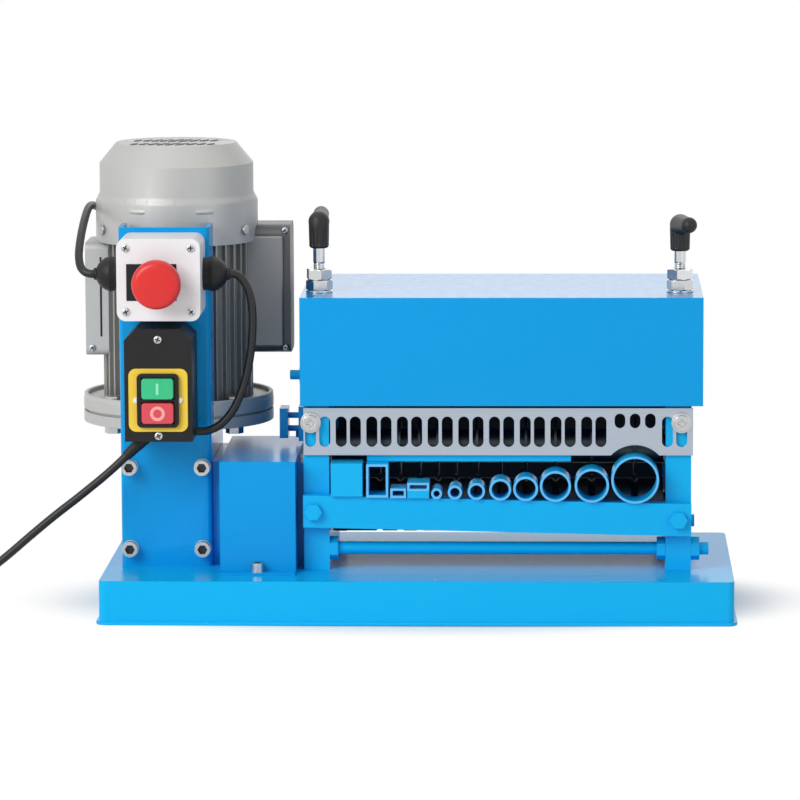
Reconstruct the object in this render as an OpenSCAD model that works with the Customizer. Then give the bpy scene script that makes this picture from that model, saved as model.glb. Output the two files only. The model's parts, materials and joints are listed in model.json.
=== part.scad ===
// Bench wire stripping machine: a worm-geared motor drives a grooved feed roller
// under a row of disc blades. x = 0 is the machine's middle line, y = 0 the base front, z = 0 the bench.

/* [Base] */
// Width of the base tray
base_w = 516; // [490:1:560]
// Depth of the base tray
base_d = 250; // [240:1:280]
// Height of the base tray
base_h = 36; // [30:1:44]
// Corner radius of the base tray
base_r = 6; // [5:1:14]
// Sheet thickness of the base tray
base_t = 3; // [2:0.5:5]
// How far the bottom lip flares out
lip_out = 2.5; // [1:0.5:5]
// Height of the flared lip
lip_h = 9; // [5:1:14]
// Base centre to the right of the machine's middle line
base_x = 2; // [0:0.5:4]

/* [Control column] */
// Column centre, measured from the middle line
col_x = -206; // [-212:1:-202]
// Column front face behind the base front
col_y = 75; // [70:1:80]
// Width of the column channel
col_w = 75; // [74:0.5:80]
// Height of the column above the base
col_h = 281; // [276:1:300]
// Depth of the column's side flanges
col_d = 40; // [24:1:44]
// Sheet thickness of the column
col_t = 4; // [3:0.5:5]
// Bend radius of the column's front corners
col_r = 4; // [2:0.5:5]
// Horizontal spacing of the column bolts
bolt_dx = 60; // [54:1:61]
// Vertical spacing of the column bolts
bolt_dz = 68; // [60:1:72]
// Thread diameter of the column bolts
bolt_d = 8; // [6:1:8]

/* [Emergency stop] */
// Width of the stop box
estop_w = 68; // [64:1:72]
// Height of the stop box
estop_h = 67; // [64:0.5:72]
// Bottom of the stop box above the base
stop_up = 210; // [206:0.5:214]
// Depth of the stop box
estop_d = 54; // [48:1:60]
// Corner radius of the stop box
estop_r = 7.5; // [4:0.5:9]
// Depth of the stop box lid
lid_d = 15; // [10:1:18]
// Wall of the moulded boxes
box_t = 2.5; // [2:0.5:3.5]
// Diameter of the red mushroom cap
cap_d = 40; // [36:1:44]
// Travel of the stop cap
cap_travel = 5; // [3:0.5:6]
// Diameter of the rubber domes on the stop box
dome_d = 27; // [22:1:30]
// Length of a rubber dome
dome_l = 20; // [16:1:24]

/* [Start switch] */
// Width of the switch box
switch_w = 55; // [52:1:60]
// Height of the switch box
switch_h = 92; // [88:1:94]
// Depth of the switch box
switch_d = 55; // [50:1:58]
// Gap between the stop box and the switch box
switch_gap = 6.5; // [3:0.5:10]
// Width of the yellow plate
plate_w = 48; // [44:1:50]
// Height of the yellow plate
plate_h = 51.5; // [48:0.5:54]
// Width of a push button
button_w = 26; // [22:1:28]
// Height of a push button
button_h = 17; // [14:1:18]
// Travel of a push button
button_travel = 3; // [2:0.5:4]

/* [Motor] */
// Motor axis to the right of the column centre
motor_off = 2.5; // [0:0.5:6]
// Diameter of the mounting flange
flange_d = 160; // [150:1:166]
// Thickness of each of the two flange tiers
flange_t = 10; // [8:0.5:12]
// Diameter of the motor housing over its fins
motor_d = 126; // [120:1:128]
// Height of the motor housing above the flange
motor_h = 162; // [156:1:170]
// Number of cooling fins
fin_n = 40; // [24:1:44]
// Gap between the fins and the outside of the fan cover's rim
fan_gap = 5; // [3:0.5:6]
// Height of the fan cover
fan_cover_h = 82; // [76:1:90]
// Diameter of the flat fan cover top
fan_top_d = 101; // [96:1:108]
// Diameter of the motor shaft
rotor_shaft_d = 14; // [12:1:15]

/* [Gearbox] */
// Height of the worm wheel axis above the base
wheel_up = 49; // [48:1:50]
// Distance between the worm and the worm wheel axes
worm_dist = 45; // [44:0.5:48]
// Outer diameter of the worm
worm_d = 24; // [20:1:25]
// Number of worm wheel teeth
wheel_n = 30; // [24:2:40]
// Diameter of the output and roller shafts
shaft_d = 20; // [18:1:20]
// Number of teeth on each transfer gear
gear_n = 20; // [18:2:24]
// Tooth module of the transfer gears
gear_m = 2; // [1.9:0.05:2.1]
// Width of the transfer gears
gear_w = 16; // [10:1:20]

/* [Drive cover] */
// Width of the cover over the transfer gears
drive_w = 62; // [58:1:63]
// Height of the drive cover
drive_h = 92; // [86:1:96]
// Depth of the drive cover
drive_d = 150; // [140:1:156]
// Front of the drive cover behind the base front
drive_y = 41; // [34:1:44]
// Sheet thickness of the covers
cover_t = 2; // [1.5:0.5:2.5]

/* [Cutting head] */
// Outer face of the left side plate
head_x = -91.5; // [-93:0.5:-90.5]
// Front of the side plates behind the base front
head_y = 58; // [56:1:60]
// Outside distance over the two side plates
head_w = 317.5; // [314:0.5:324]
// Thickness of a side plate
side_t = 21; // [20:0.5:24]
// Depth of a side plate
side_d = 168; // [160:1:172]
// Height of a side plate
side_h = 223.5; // [216:0.5:228]
// Roller and knife axis behind the side plate front
roller_off = 36; // [35:1:38]
// Diameter of the feed roller
roller_d = 44; // [40:1:45]
// Diameter of the disc blades
blade_d = 48; // [44:1:49]
// Thickness of a disc blade
blade_t = 2; // [1.5:0.5:3]
// Gap between blades and feed roller at rest
nip = 3; // [2.5:0.5:5]
// Diameter of the knife shaft
knife_d = 18; // [16:1:20]
// Depth of a bearing block
block_d = 36; // [34:1:40]
// Height of a bearing block
block_h = 36; // [34:1:40]
// How far the knife head can rise
head_rise = 10; // [6:1:14]
// How far the knife head can drop
head_drop = 2; // [1:0.5:2]

/* [Guides] */
// Height of the front crossbar
bar_h = 26.5; // [24:0.5:28]
// Thickness of the front crossbar
bar_d = 12; // [10:1:14]
// Top of the crossbar above the base
bar_up = 63.5; // [62:0.5:65]
// How much lower the crossbar's right end lies
bar_drop = 7; // [0:0.5:8]
// Length of the guide tubes
tube_l = 26; // [20:1:28]
// Wall of the guide tubes
tube_t = 2; // [1.5:0.5:2.5]
// Height of the slotted plate
guide_h = 39; // [37:1:40]
// Thickness of the slotted plate
guide_t = 3; // [2:0.5:3.5]
// Width of a slot in the plate
slot_w = 9; // [8.6:0.2:9.8]
// Length of a slot in the plate
slot_l = 25; // [23:1:27]

/* [Top cover] */
// Width of the top cover
top_w = 329; // [326:1:335]
// Height of the top cover
top_h = 89; // [84:0.5:92]
// Depth of the top cover
top_d = 183; // [178:1:186]
// Front overhang of the top cover past the side plates
top_over = 8; // [7:0.5:10]

/* [Clamping levers] */
// Diameter of the threaded studs
stud_d = 10; // [8:1:10]
// Width across flats of the stud nuts
nut_af = 19; // [17:1:22]
// Height of a stud nut
nut_h = 9; // [7:0.5:10]
// Lever arm length from the stud axis
lever_l = 44; // [36:1:52]
// Diameter of the lever hub
hub_d = 17; // [15:0.5:20]

/* [Leads] */
// Diameter of the leads and the power cord
cord_d = 6.8; // [6:0.2:7]
// Turns in the put-away coil
coil_turns = 6.25; // [5.25:1:6.25]
// Innermost radius of the coil
coil_r = 28; // [28:1:32]

/* [Hidden] */
$fn = 48;

// clearances: running fit of shafts, seat of fixed pieces, room round loose pieces
run = 0.05;
seat = 0.02;
room = 0.4;
thin = 0.2;

// motor and gearbox axes
motor_x = col_x + motor_off;
wheel_z = base_h + wheel_up;
roller_y = head_y + roller_off;
gear_r = gear_m * gear_n / 2;
wheel_y = roller_y + 2 * gear_r;
motor_y = wheel_y + worm_dist;
col_top = base_h + col_h;
col_back = col_y + col_t;

// gearbox housing
gb_wall = 9;
gb_w = col_w;
gb_front = col_back;
gb_back = motor_y + worm_d / 2 + 6 + gb_wall;
gb_top = wheel_z + 60;
wheel_r = worm_dist - worm_d / 2 - 0.5;
wheel_w = 20;
worm_bearing_d = 32;
worm_bearing_w = 9;
out_bearing_d = 42;
journal_d = rotor_shaft_d + 4;

// motor stack
flange_z = gb_top;
body_z = flange_z + 2 * flange_t;
body_top = body_z + motor_h;
fin_h = 5;
fin_t = 2.2;
body_d = motor_d - 2 * fin_h;
housing_t = 4;
stator_h = 92;
stator_z = body_z + 30;
rotor_d = 70;
shield_t = 8;
fan_z = body_top + 8;
fan_h = 16;
fan_room = 12;
fan_hub = 12;
rotor_in = 30;
cover_low = body_top - 30;
cover_top = cover_low + fan_cover_h;
cover_in_t = 1.6;
rim_h = 33.5;
fan_cover_d = motor_d + 2 * fan_gap;
wall_d = fan_cover_d - 7;

// side boxes of the motor
term_d = 33;
term_deep = 50;
term_back = 11;
term_r = 9;
term_z = body_z + 37;
term_h = 108;
cap_box_d = 12;
cap_box_deep = 60;
cap_box_r = 6;
lead_room = 24;
cap_box_z = term_z;
cap_box_h = cover_low - cap_box_z - thin;

// stop box
estop_x = col_x;
estop_z = base_h + stop_up;
estop_mid = estop_z + estop_h / 2;
estop_front = col_y - estop_d;
cap_z = estop_mid - 1.5;
dome_z = estop_mid + 1.5;
collar_l = 8;
collar_d = 30;
neck_d = 24;
head_l = 14;
cap_back = estop_front - collar_l - cap_travel - 1;
cap_front = cap_back - head_l;
stem_d = 10;
stem_end = estop_front + 13;

// switch box
switch_x = col_x - 1;
switch_top = estop_z - switch_gap;
switch_z = switch_top - switch_h;
switch_front = col_y - switch_d;
switch_chamfer = 9;
plate_t = 1.5;
plate_z = switch_z + 8.5;
bezel_w = button_w + 8;
bezel_h = 2 * button_h + 10;
bezel_t = 4;
bezel_z = plate_z + (plate_h - bezel_h) / 2;
button_in = 8;
start_z = bezel_z + bezel_h - 3.5 - button_h / 2;
stop_z = bezel_z + 3.5 + button_h / 2;

// drive cover
drive_x = head_x - 6 - drive_w;
gear_x = drive_x + drive_w - cover_t - 6 - gear_w;
hole_d = shaft_d + 6;
foot_d = 12;

// cutting head
roller_z = wheel_z;
right_x = head_x + head_w - side_t;
side_top = base_h + side_h;
side_back = head_y + side_d;
inner_l = head_x + side_t;
inner_w = head_w - 2 * side_t;
knife_z = roller_z + roller_d / 2 + nip + blade_d / 2;
block_low = knife_z - block_h / 2;
block_top = knife_z + block_h / 2;
slot_low = block_low - head_drop - 1;
slot_high = block_top + head_rise + 1;
stud_x = [head_x + side_t / 2 + 1.5, right_x + side_t / 2 + 1.5];
roller_bearing_d = 32;
bar_top = base_h + bar_up;
bar_y = head_y - bar_d;
bar_slope = bar_drop / head_w;
function bar_at(x) = bar_top - bar_slope * (x - head_x);

// guide tubes: flat ones as [centre, width, height], round ones as [centre, diameter]
flat_tubes = [[-30.5, 18, 27.5], [-13.4, 13, 8], [3, 18, 7]];
round_tubes = [[18, 9], [33, 11.7], [50.5, 14.2], [70, 18], [90.7, 20.4], [115, 25.5], [144.7, 28.1], [180, 39]];
tube_y = bar_y - 4;
riser_h = 6;
lanes = concat([for (t = flat_tubes) t[0]], [for (t = round_tubes) t[0]]);
block_x = head_x + side_t + 2;
block_w = 26;
strip_h = 5.5;

// slotted plate
guide_z = bar_top + 32;
guide_x = head_x + 0.3;
guide_w = head_w + 1;
guide_y = head_y - 0.1 - guide_t;
slot_mid = guide_z + guide_h / 2;
pair_pitch = 25.1;
pair_gap = 11.6;
first_slot = guide_x + 5.8;
pair_n = 10;
last_slot = guide_x + guide_w - 9.3;
slots = concat([for (i = [0:pair_n - 1]) for (k = [0, 1]) first_slot + i * pair_pitch + k * pair_gap],
  [last_slot - pair_gap, last_slot]);
ovals = [for (i = [-1, 0, 1]) round_tubes[7][0] + i * 12.4];
arch_r = round_tubes[7][1] / 2 + 7.5;
guide_bolt_d = 8;
guide_bolt_z = slot_mid + slot_l / 2 - slot_w / 2 - 0.6;
guide_bolt_x = [first_slot, last_slot];
washer_d = 17;
washer_t = 1.5;

// top cover
top_x = head_x - cover_t - thin;
top_y = head_y - top_over;
top_top = side_top + thin + cover_t;
top_z = top_top - top_h;

// levers
nut_top = top_top + washer_t + 2 * nut_h;
hub_z = nut_top + 17;
hub_h = 25;
right_low = 2.5;
lever_turn = [90, -80];
stud_low = block_top + thin;

// overall extents that set the origin
west = min(motor_x - flange_d / 2, base_x - base_w / 2 - lip_out);
east = base_x + base_w / 2 + lip_out;
south = min(cap_front, -lip_out);
north = max(motor_y + flange_d / 2, base_d + lip_out);
origin = [(west + east) / 2, (south + north) / 2, 0];

module placed() { translate(-origin) children(); }
module along_x() { rotate([0, 90, 0]) children(); }
module along_y() { rotate([-90, 0, 0]) children(); }

module rounded_rect(w, h, r) {
  square([w - 2 * r, h], center = true);
  square([w, h - 2 * r], center = true);
  for (x = [-1, 1], y = [-1, 1]) translate([x * (w / 2 - r), y * (h / 2 - r)]) circle(r);
}
// plate with its face towards the viewer: front at y = 0, thickness going back
module panel(t) { translate([0, t, 0]) rotate([90, 0, 0]) linear_extrude(t) children(); }
module ring(d_out, d_in, h) {
  difference() {
    cylinder(d = d_out, h = h);
    translate([0, 0, -1]) cylinder(d = d_in, h = h + 2);
  }
}
module hex(af, h) { cylinder(d = af / cos(30), h = h, $fn = 6); }
module oblong(w, l) {
  square([w, l - w], center = true);
  for (s = [-1, 1]) translate([0, s * (l - w) / 2]) circle(d = w);
}

// base: sheet tray on a lip, with a hole for the drive cover's foot bolt
foot_bolt_d = 6;
foot_bolt_at = [drive_x + drive_w / 2, drive_y - foot_d / 2, base_h + cover_t];
module base_tray() color("dodgerblue") difference() {
  translate([base_x, base_d / 2, 0]) difference() {
    union() {
      linear_extrude(base_h) rounded_rect(base_w, base_d, base_r);
      linear_extrude(lip_h) rounded_rect(base_w + 2 * lip_out, base_d + 2 * lip_out, base_r + lip_out);
    }
    translate([0, 0, -1]) linear_extrude(base_h - base_t + 1)
      rounded_rect(base_w - 2 * base_t, base_d - 2 * base_t, base_r - base_t);
  }
  translate([foot_bolt_at[0], foot_bolt_at[1], base_h - base_t - 1])
    cylinder(d = foot_bolt_d + 2 * seat, h = base_t + 2);
}

// places children at the four column bolts, on the column's front face
module at_column_bolts() {
  for (x = [-1, 1], z = [-1, 1])
    translate([col_x + x * bolt_dx / 2, col_y, wheel_z + z * bolt_dz / 2]) along_y() children();
}

// column section: front face at y = 0 with bent corners, flanges going back
module column_outline() {
  translate([-col_w / 2, col_r]) square([col_w, col_d - col_r]);
  translate([-col_w / 2 + col_r, 0]) square([col_w - 2 * col_r, col_r + 1]);
  for (s = [-1, 1]) translate([s * (col_w / 2 - col_r), col_r]) circle(col_r);
}
// the flanges stop above the gearbox, which the front face covers
module column_channel() color("dodgerblue") difference() {
  translate([col_x, col_y, base_h]) difference() {
    linear_extrude(col_h) column_outline();
    translate([-col_w / 2 + col_t, col_t, -1]) cube([col_w - 2 * col_t, col_d, col_h + 2]);
    translate([-col_w, col_t, -1]) cube([2 * col_w, col_d, gb_top - base_h + thin + 1]);
  }
  at_column_bolts() translate([0, 0, -1]) cylinder(d = bolt_d + 2 * thin, h = col_t + 2);
  translate([motor_x, motor_y, flange_z - 2]) cylinder(d = flange_d + 4, h = 2 * flange_t + 4, $fn = 96);
}

// socket head screw with its washer; z = 0 is the face it clamps, the shank goes up
head_ratio = 1.6;
washer_ratio = 1.7;
socket_ratio = 0.9;
module socket_bolt(d, shank) {
  translate([0, 0, -washer_t]) ring(d * washer_ratio, d + thin, washer_t);
  difference() {
    union() {
      translate([0, 0, -washer_t - d]) cylinder(d = d * head_ratio, h = d);
      translate([0, 0, -washer_t]) cylinder(d = d, h = shank + washer_t);
    }
    translate([0, 0, -washer_t - d - 1]) hex(d * socket_ratio, d / 2 + 1);
  }
}
hex_af = 13;
hex_h = 5.5;
module frame_bolts() color("silver") {
  at_column_bolts() socket_bolt(bolt_d, col_t + gb_wall - 1);
  translate(foot_bolt_at) rotate([180, 0, 0]) socket_bolt(foot_bolt_d, cover_t + base_t);
  at_flange_bolts() {
    translate([0, 0, -2 * flange_t]) cylinder(d = flange_bolt_d, h = 2 * flange_t);
    hex(hex_af, hex_h);
    translate([0, 0, -2 * flange_t - hex_h]) hex(hex_af, hex_h);
  }
}

module gearbox_housing() color("lightslategray") difference() {
  translate([col_x - gb_w / 2, gb_front, base_h]) cube([gb_w, gb_back - gb_front, gb_top - base_h]);
  translate([col_x - gb_w / 2 + gb_wall, gb_front + gb_wall, base_h + gb_wall])
    cube([gb_w - 2 * gb_wall, gb_back - gb_front - 2 * gb_wall, gb_top - base_h - 2 * gb_wall]);
  translate([motor_x, motor_y, base_h - 1]) cylinder(d = worm_bearing_d + 2 * seat, h = gb_top - base_h + 2);
  translate([col_x - gb_w, wheel_y, wheel_z]) along_x() cylinder(d = out_bearing_d + 2 * seat, h = 2 * gb_w);
  at_column_bolts() cylinder(d = bolt_d + 2 * seat, h = col_t + gb_wall);
}

// helical thread round the worm, one start
worm_l = 56;
worm_pitch = 2 * PI * wheel_r / wheel_n;
thread_h = 2.2;
module worm_shaft() color("gray") translate([motor_x, motor_y, 0]) difference() {
  union() {
    translate([0, 0, base_h + 1]) cylinder(d = journal_d, h = gb_top - base_h - 2);
    translate([0, 0, wheel_z - worm_l / 2])
      linear_extrude(worm_l, twist = -360 * worm_l / worm_pitch, slices = 52)
        translate([thread_h / 2, 0]) circle(d = worm_d - thread_h, $fn = 14);
  }
  translate([0, 0, gb_top - rotor_in - 4]) cylinder(d = rotor_shaft_d + 2 * seat, h = rotor_in + 10);
}

// straight-sided gear outline; n teeth of module m
module gear_outline(n, m) {
  r = n * m / 2;
  step = 360 / n;
  polygon([for (i = [0:n - 1]) for (p = [[-0.27, -1.2], [-0.17, -0.25], [-0.09, 0.75], [0.09, 0.75], [0.17, -0.25], [0.27, -1.2]])
    (r + p[1] * m) * [cos((i + p[0]) * step), sin((i + p[0]) * step)]]);
}

wheel_m = 2 * wheel_r / (wheel_n + 1.5);
module worm_wheel() color("goldenrod") translate([motor_x - wheel_w / 2, wheel_y, wheel_z]) along_x() difference() {
  linear_extrude(wheel_w) gear_outline(wheel_n, wheel_m);
  translate([0, 0, -1]) cylinder(d = shaft_d + 2 * seat, h = wheel_w + 2);
}

out_low = col_x - gb_w / 2 + 1;
out_high = gear_x + gear_w + 2;
module output_shaft() color("silver") translate([out_low, wheel_y, wheel_z])
  along_x() cylinder(d = shaft_d, h = out_high - out_low);

module drive_gear() color("darkgray") translate([gear_x, wheel_y, wheel_z]) along_x() difference() {
  linear_extrude(gear_w) rotate(90 + 180 / gear_n) gear_outline(gear_n, gear_m);
  translate([0, 0, -1]) cylinder(d = shaft_d + 2 * seat, h = gear_w + 2);
}
module roller_gear() color("darkgray") translate([gear_x, roller_y, wheel_z]) along_x() difference() {
  linear_extrude(gear_w) rotate(90) gear_outline(gear_n, gear_m);
  translate([0, 0, -1]) cylinder(d = shaft_d + 2 * seat, h = gear_w + 2);
}

module ball_bearings() color("silver") {
  for (z = [base_h, gb_top - gb_wall]) translate([motor_x, motor_y, z])
    ring(worm_bearing_d, journal_d + 2 * run, gb_wall);
  for (x = [col_x - gb_w / 2, col_x + gb_w / 2 - gb_wall]) translate([x, wheel_y, wheel_z])
    along_x() ring(out_bearing_d, shaft_d + 2 * run, gb_wall);
  for (z = [body_z - worm_bearing_w, body_top - shield_t]) translate([motor_x, motor_y, z])
    ring(worm_bearing_d, rotor_shaft_d + 2 * run, shield_t);
  for (x = [head_x + 4, right_x + side_t - 4 - roller_bearing_w]) translate([x, roller_y, roller_z])
    along_x() ring(roller_bearing_d, shaft_d + 2 * run, roller_bearing_w);
}
roller_bearing_w = side_t - 8;

// drive cover: main box, lower set-back necks to the gearbox and to the head, a foot in front
neck_low = 6;
neck_from = col_x + gb_w / 2 + thin;
neck_to = head_x - thin;
drive_right = drive_x + drive_w;
left_neck_y = col_back + 6;
right_neck_y = roller_y - hole_d / 2 - cover_t - 3;
drive_back = drive_y + drive_d;
// the cover's body, drawn smaller by inset; low is how far it runs below the base's top
module drive_body(inset, low) {
  neck_h = drive_h - neck_low - inset + low;
  translate([drive_x + inset, drive_y + inset, base_h - low])
    cube([drive_w - 2 * inset, drive_d - 2 * inset, drive_h - inset + low]);
  translate([neck_from - low, left_neck_y + inset, base_h - low])
    cube([drive_x + inset + 1 - neck_from + low, drive_back - left_neck_y - 2 * inset, neck_h]);
  translate([drive_right - inset - 1, right_neck_y + inset, base_h - low])
    cube([neck_to + low - drive_right + inset + 1, drive_back - right_neck_y - 2 * inset, neck_h]);
}
module drive_cover() color("dodgerblue") difference() {
  union() {
    drive_body(0, 0);
    translate([drive_x, drive_y - foot_d, base_h]) cube([drive_w, foot_d + 1, cover_t]);
  }
  drive_body(cover_t, 1);
  translate(foot_bolt_at - [0, 0, cover_t + 1]) cylinder(d = foot_bolt_d + 2 * thin, h = cover_t + 2);
}

pcd_r = flange_d / 2 - 8.5;
flange_bolt_d = 8;
module at_flange_bolts() {
  for (a = [45:90:315]) translate([motor_x + pcd_r * cos(a), motor_y + pcd_r * sin(a), body_z]) children();
}
// two flange tiers with a groove between them
groove = 2;
module motor_flange() color("silver") difference() {
  translate([motor_x, motor_y, flange_z]) {
    cylinder(d = flange_d, h = flange_t - groove / 2, $fn = 96);
    cylinder(d = flange_d - 6, h = 2 * flange_t, $fn = 96);
    translate([0, 0, flange_t + groove / 2]) cylinder(d = flange_d, h = flange_t - groove / 2, $fn = 96);
  }
  translate([motor_x, motor_y, flange_z - 1]) cylinder(d = rotor_shaft_d + 4, h = 2 * flange_t + 2);
  translate([motor_x, motor_y, body_z - worm_bearing_w]) cylinder(d = worm_bearing_d + 2 * seat, h = 20);
  at_flange_bolts() translate([0, 0, -2 * flange_t - 1]) cylinder(d = flange_bolt_d + 2 * seat, h = 2 * flange_t + 2);
}
module motor_housing() color("silver") translate([motor_x, motor_y, body_z]) difference() {
  linear_extrude(motor_h) {
    circle(d = body_d);
    for (i = [0:fin_n - 1]) rotate(i * 360 / fin_n)
      translate([body_d / 2 - 1, -fin_t / 2]) square([fin_h + 1, fin_t]);
  }
  translate([0, 0, -1]) cylinder(d = body_d - 2 * housing_t, h = motor_h - shield_t + 1);
  cylinder(d = worm_bearing_d + 2 * seat, h = motor_h + 1);
}
module motor_stator() color("peru") translate([motor_x, motor_y, stator_z])
  ring(body_d - 2 * housing_t - 2 * seat, rotor_d + 1, stator_h);
module motor_rotor() color("gray") translate([motor_x, motor_y, 0]) {
  translate([0, 0, stator_z]) cylinder(d = rotor_d, h = stator_h);
  translate([0, 0, gb_top - rotor_in]) cylinder(d = rotor_shaft_d, h = fan_z + fan_h - gb_top + rotor_in);
}
fan_d = wall_d - 2 * fan_room;
module motor_fan() color("dimgray") translate([motor_x, motor_y, fan_z]) difference() {
  union() {
    cylinder(d = rotor_shaft_d + fan_hub, h = fan_h);
    cylinder(d = fan_d, h = 2.5);
    for (a = [0:45:315]) rotate(a) translate([rotor_shaft_d / 2 + 4, -1.2, 0]) cube([fan_d / 2 - 14, 2.4, fan_h]);
  }
  translate([0, 0, -1]) cylinder(d = rotor_shaft_d + 2 * seat, h = fan_h + 2);
}

// pressed sheet cover: flat top, sloped shoulder, wall, wider rim
shoulder = 17;
module fan_cover() color("silver") translate([motor_x, motor_y, 0]) difference() {
  rotate_extrude($fn = 96) polygon([
    [0, cover_top], [fan_top_d / 2, cover_top], [wall_d / 2, cover_top - shoulder],
    [wall_d / 2, cover_low + rim_h + 7], [fan_cover_d / 2, cover_low + rim_h], [fan_cover_d / 2, cover_low],
    [fan_cover_d / 2 - cover_in_t, cover_low], [fan_cover_d / 2 - cover_in_t, cover_low + rim_h],
    [wall_d / 2 - cover_in_t, cover_low + rim_h + 7], [wall_d / 2 - cover_in_t, cover_top - shoulder - 0.6],
    [fan_top_d / 2 - 0.6, cover_top - cover_in_t], [0, cover_top - cover_in_t]]);
  translate([0, 0, cover_top - 2 * cover_in_t]) linear_extrude(4 * cover_in_t) vents();
  for (a = fan_screw_angles) rotate(a) translate([0, 0, fan_screw_z])
    along_x() cylinder(d = fan_screw_d + thin, h = fan_cover_d);
}
fan_screw_angles = [90, 210, 330];
fan_screw_z = cover_low + 11;
fan_screw_d = 4;
// two rows of slanted slots, shorter towards the ends
vent_pitch = fan_top_d / 12.6;
vent_w = vent_pitch / 2;
vent_l = fan_top_d / 4;
vent_row = fan_top_d * 0.18;
module vents() for (row = [-1, 1], i = [-4:4]) translate([i * vent_pitch, row * vent_row])
  rotate(-30) oblong(vent_w, vent_l - abs(i) * vent_pitch * 0.36);
module fan_cover_screws() color("silver") translate([motor_x, motor_y, fan_screw_z])
  for (a = fan_screw_angles) rotate(a) along_x() {
    translate([0, 0, motor_d / 2 + thin]) cylinder(d = fan_screw_d, h = fan_gap);
    translate([0, 0, fan_cover_d / 2 + thin]) cylinder(d = 8.5, h = 2.4);
  }

// box against the motor's side, its middle set back; side 1 is right, -1 left
module side_box(side, depth, deep, back, z, h, r) {
  translate([motor_x, motor_y, 0]) mirror([side < 0 ? 1 : 0, 0, 0]) difference() {
    translate([body_d / 2 - 6, back, z + h / 2]) rotate([90, 0, 90])
      linear_extrude(depth + fin_h + 6) rounded_rect(deep, h, r);
    translate([0, back, z + h / 2]) rotate([90, 0, 90])
      linear_extrude(motor_d / 2 + depth - box_t) rounded_rect(deep - 2 * box_t, h - 2 * box_t, r - box_t);
    translate([0, 0, z - 1]) cylinder(d = motor_d + 2 * thin, h = h + 2, $fn = 96);
    translate([0, 0, cover_low - thin]) cylinder(d = fan_cover_d + 2 * thin, h = h, $fn = 96);
  }
}
module terminal_box() color("slategray") side_box(1, term_d, term_deep, term_back, term_z, term_h, term_r);
module capacitor_box() color("silver") side_box(-1, cap_box_d, cap_box_deep, 0, cap_box_z, cap_box_h, cap_box_r);
run_cap_d = term_d - box_t - 2;
start_cap_d = cap_box_d - box_t - 2;
module capacitors() color("whitesmoke") translate([motor_x, motor_y, 0]) {
  translate([motor_d / 2 + 1 + run_cap_d / 2, term_back, term_z + box_t]) cylinder(d = run_cap_d, h = term_h - lead_room);
  translate([-motor_d / 2 - 1 - start_cap_d / 2, 0, cap_box_z + box_t])
    cylinder(d = start_cap_d, h = cap_box_h - lead_room);
}

// stop box: tray on the column, lid in front, corner posts for the lid screws
post_in = 7.5;
post_x = estop_w / 2 - post_in;
post_z = estop_h / 2 - post_in;
post_d = 8;
screw_d = 3.5;
dome_y = estop_front + lid_d + (estop_d - lid_d) / 2;
dome_hole = 14;
module estop_outline() { rounded_rect(estop_w, estop_h, estop_r); }
module estop_posts(d) { for (x = [-1, 1], z = [-1, 1]) translate([x * post_x, z * post_z]) circle(d = d); }
module estop_hollow() difference() {
  rounded_rect(estop_w - 2 * box_t, estop_h - 2 * box_t, estop_r - box_t);
  estop_posts(post_d);
}
module estop_box() color("whitesmoke") difference() {
  translate([estop_x, estop_front + lid_d, estop_mid]) difference() {
    panel(estop_d - lid_d) estop_outline();
    translate([0, -1, 0]) panel(estop_d - lid_d - box_t + 1) estop_hollow();
    translate([0, -1, 0]) panel(estop_d - lid_d - box_t) estop_posts(screw_d + 2 * seat);
  }
  translate([estop_x - estop_w, dome_y, dome_z]) along_x() cylinder(d = dome_hole + 2 * seat, h = 2 * estop_w);
}
module estop_lid() color("whitesmoke") translate([estop_x, estop_front, estop_mid]) difference() {
  panel(lid_d) estop_outline();
  translate([0, box_t, 0]) panel(lid_d) estop_hollow();
  translate([0, -1, 0]) panel(lid_d + 2) estop_posts(screw_d + 2 * seat);
  translate([0, -1, cap_z - estop_mid]) along_y() cylinder(d = stem_d + 2 * room, h = box_t + 2);
}
switch_screw_z = [switch_z + 4.8, switch_top - 8.5];
module pan_screw(head, l) {
  translate([0, 0, -2]) cylinder(d = head, h = 2);
  translate([0, 0, -0.01]) cylinder(d = screw_d, h = l);
}
module case_screws() color("silver") {
  for (x = [-1, 1], z = [-1, 1]) translate([estop_x + x * post_x, estop_front, estop_mid + z * post_z])
    along_y() pan_screw(6.5, lid_d + 12);
  for (z = switch_screw_z) translate([switch_x, switch_front, z]) along_y() pan_screw(6, box_t + 6);
}
module estop_collar() color("darkred") translate([estop_x, estop_front - collar_l, cap_z])
  along_y() ring(collar_d, neck_d + 0.7, collar_l);
neck_end = estop_front - cap_travel - 0.5;
spigot_l = 7;
module estop_plunger() color("firebrick") translate([estop_x, 0, cap_z]) {
  translate([0, cap_back - spigot_l, 0]) along_y() cylinder(d = stem_d, h = stem_end - cap_back + spigot_l);
  translate([0, cap_back + thin, 0]) along_y() cylinder(d = neck_d, h = neck_end - cap_back - thin);
}
// mushroom cap: its back at z = 0, crowned face at head_l
cap_round = 6;
module estop_cap() color("red") translate([estop_x, cap_back, cap_z]) rotate([90, 0, 0]) difference() {
  rotate_extrude($fn = 72) polygon(concat([[0, 0], [cap_d / 2 - 2, 0], [cap_d / 2, 3]],
    [for (a = [0:15:75]) [cap_d / 2 - cap_round * (1 - cos(a)), head_l - 1 - cap_round * (1 - sin(a))]],
    [[cap_d / 2 - cap_round, head_l - 1], [0, head_l]]));
  translate([0, 0, -1]) cylinder(d = stem_d + 2 * run, h = spigot_l + 1.5);
}
contact_w = 30;
module estop_contacts() color("black") translate([estop_x - contact_w / 2, stem_end + cap_travel + 1, cap_z - contact_w / 2])
  cube([contact_w, col_y - box_t - stem_end - cap_travel - 1, contact_w]);
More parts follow.
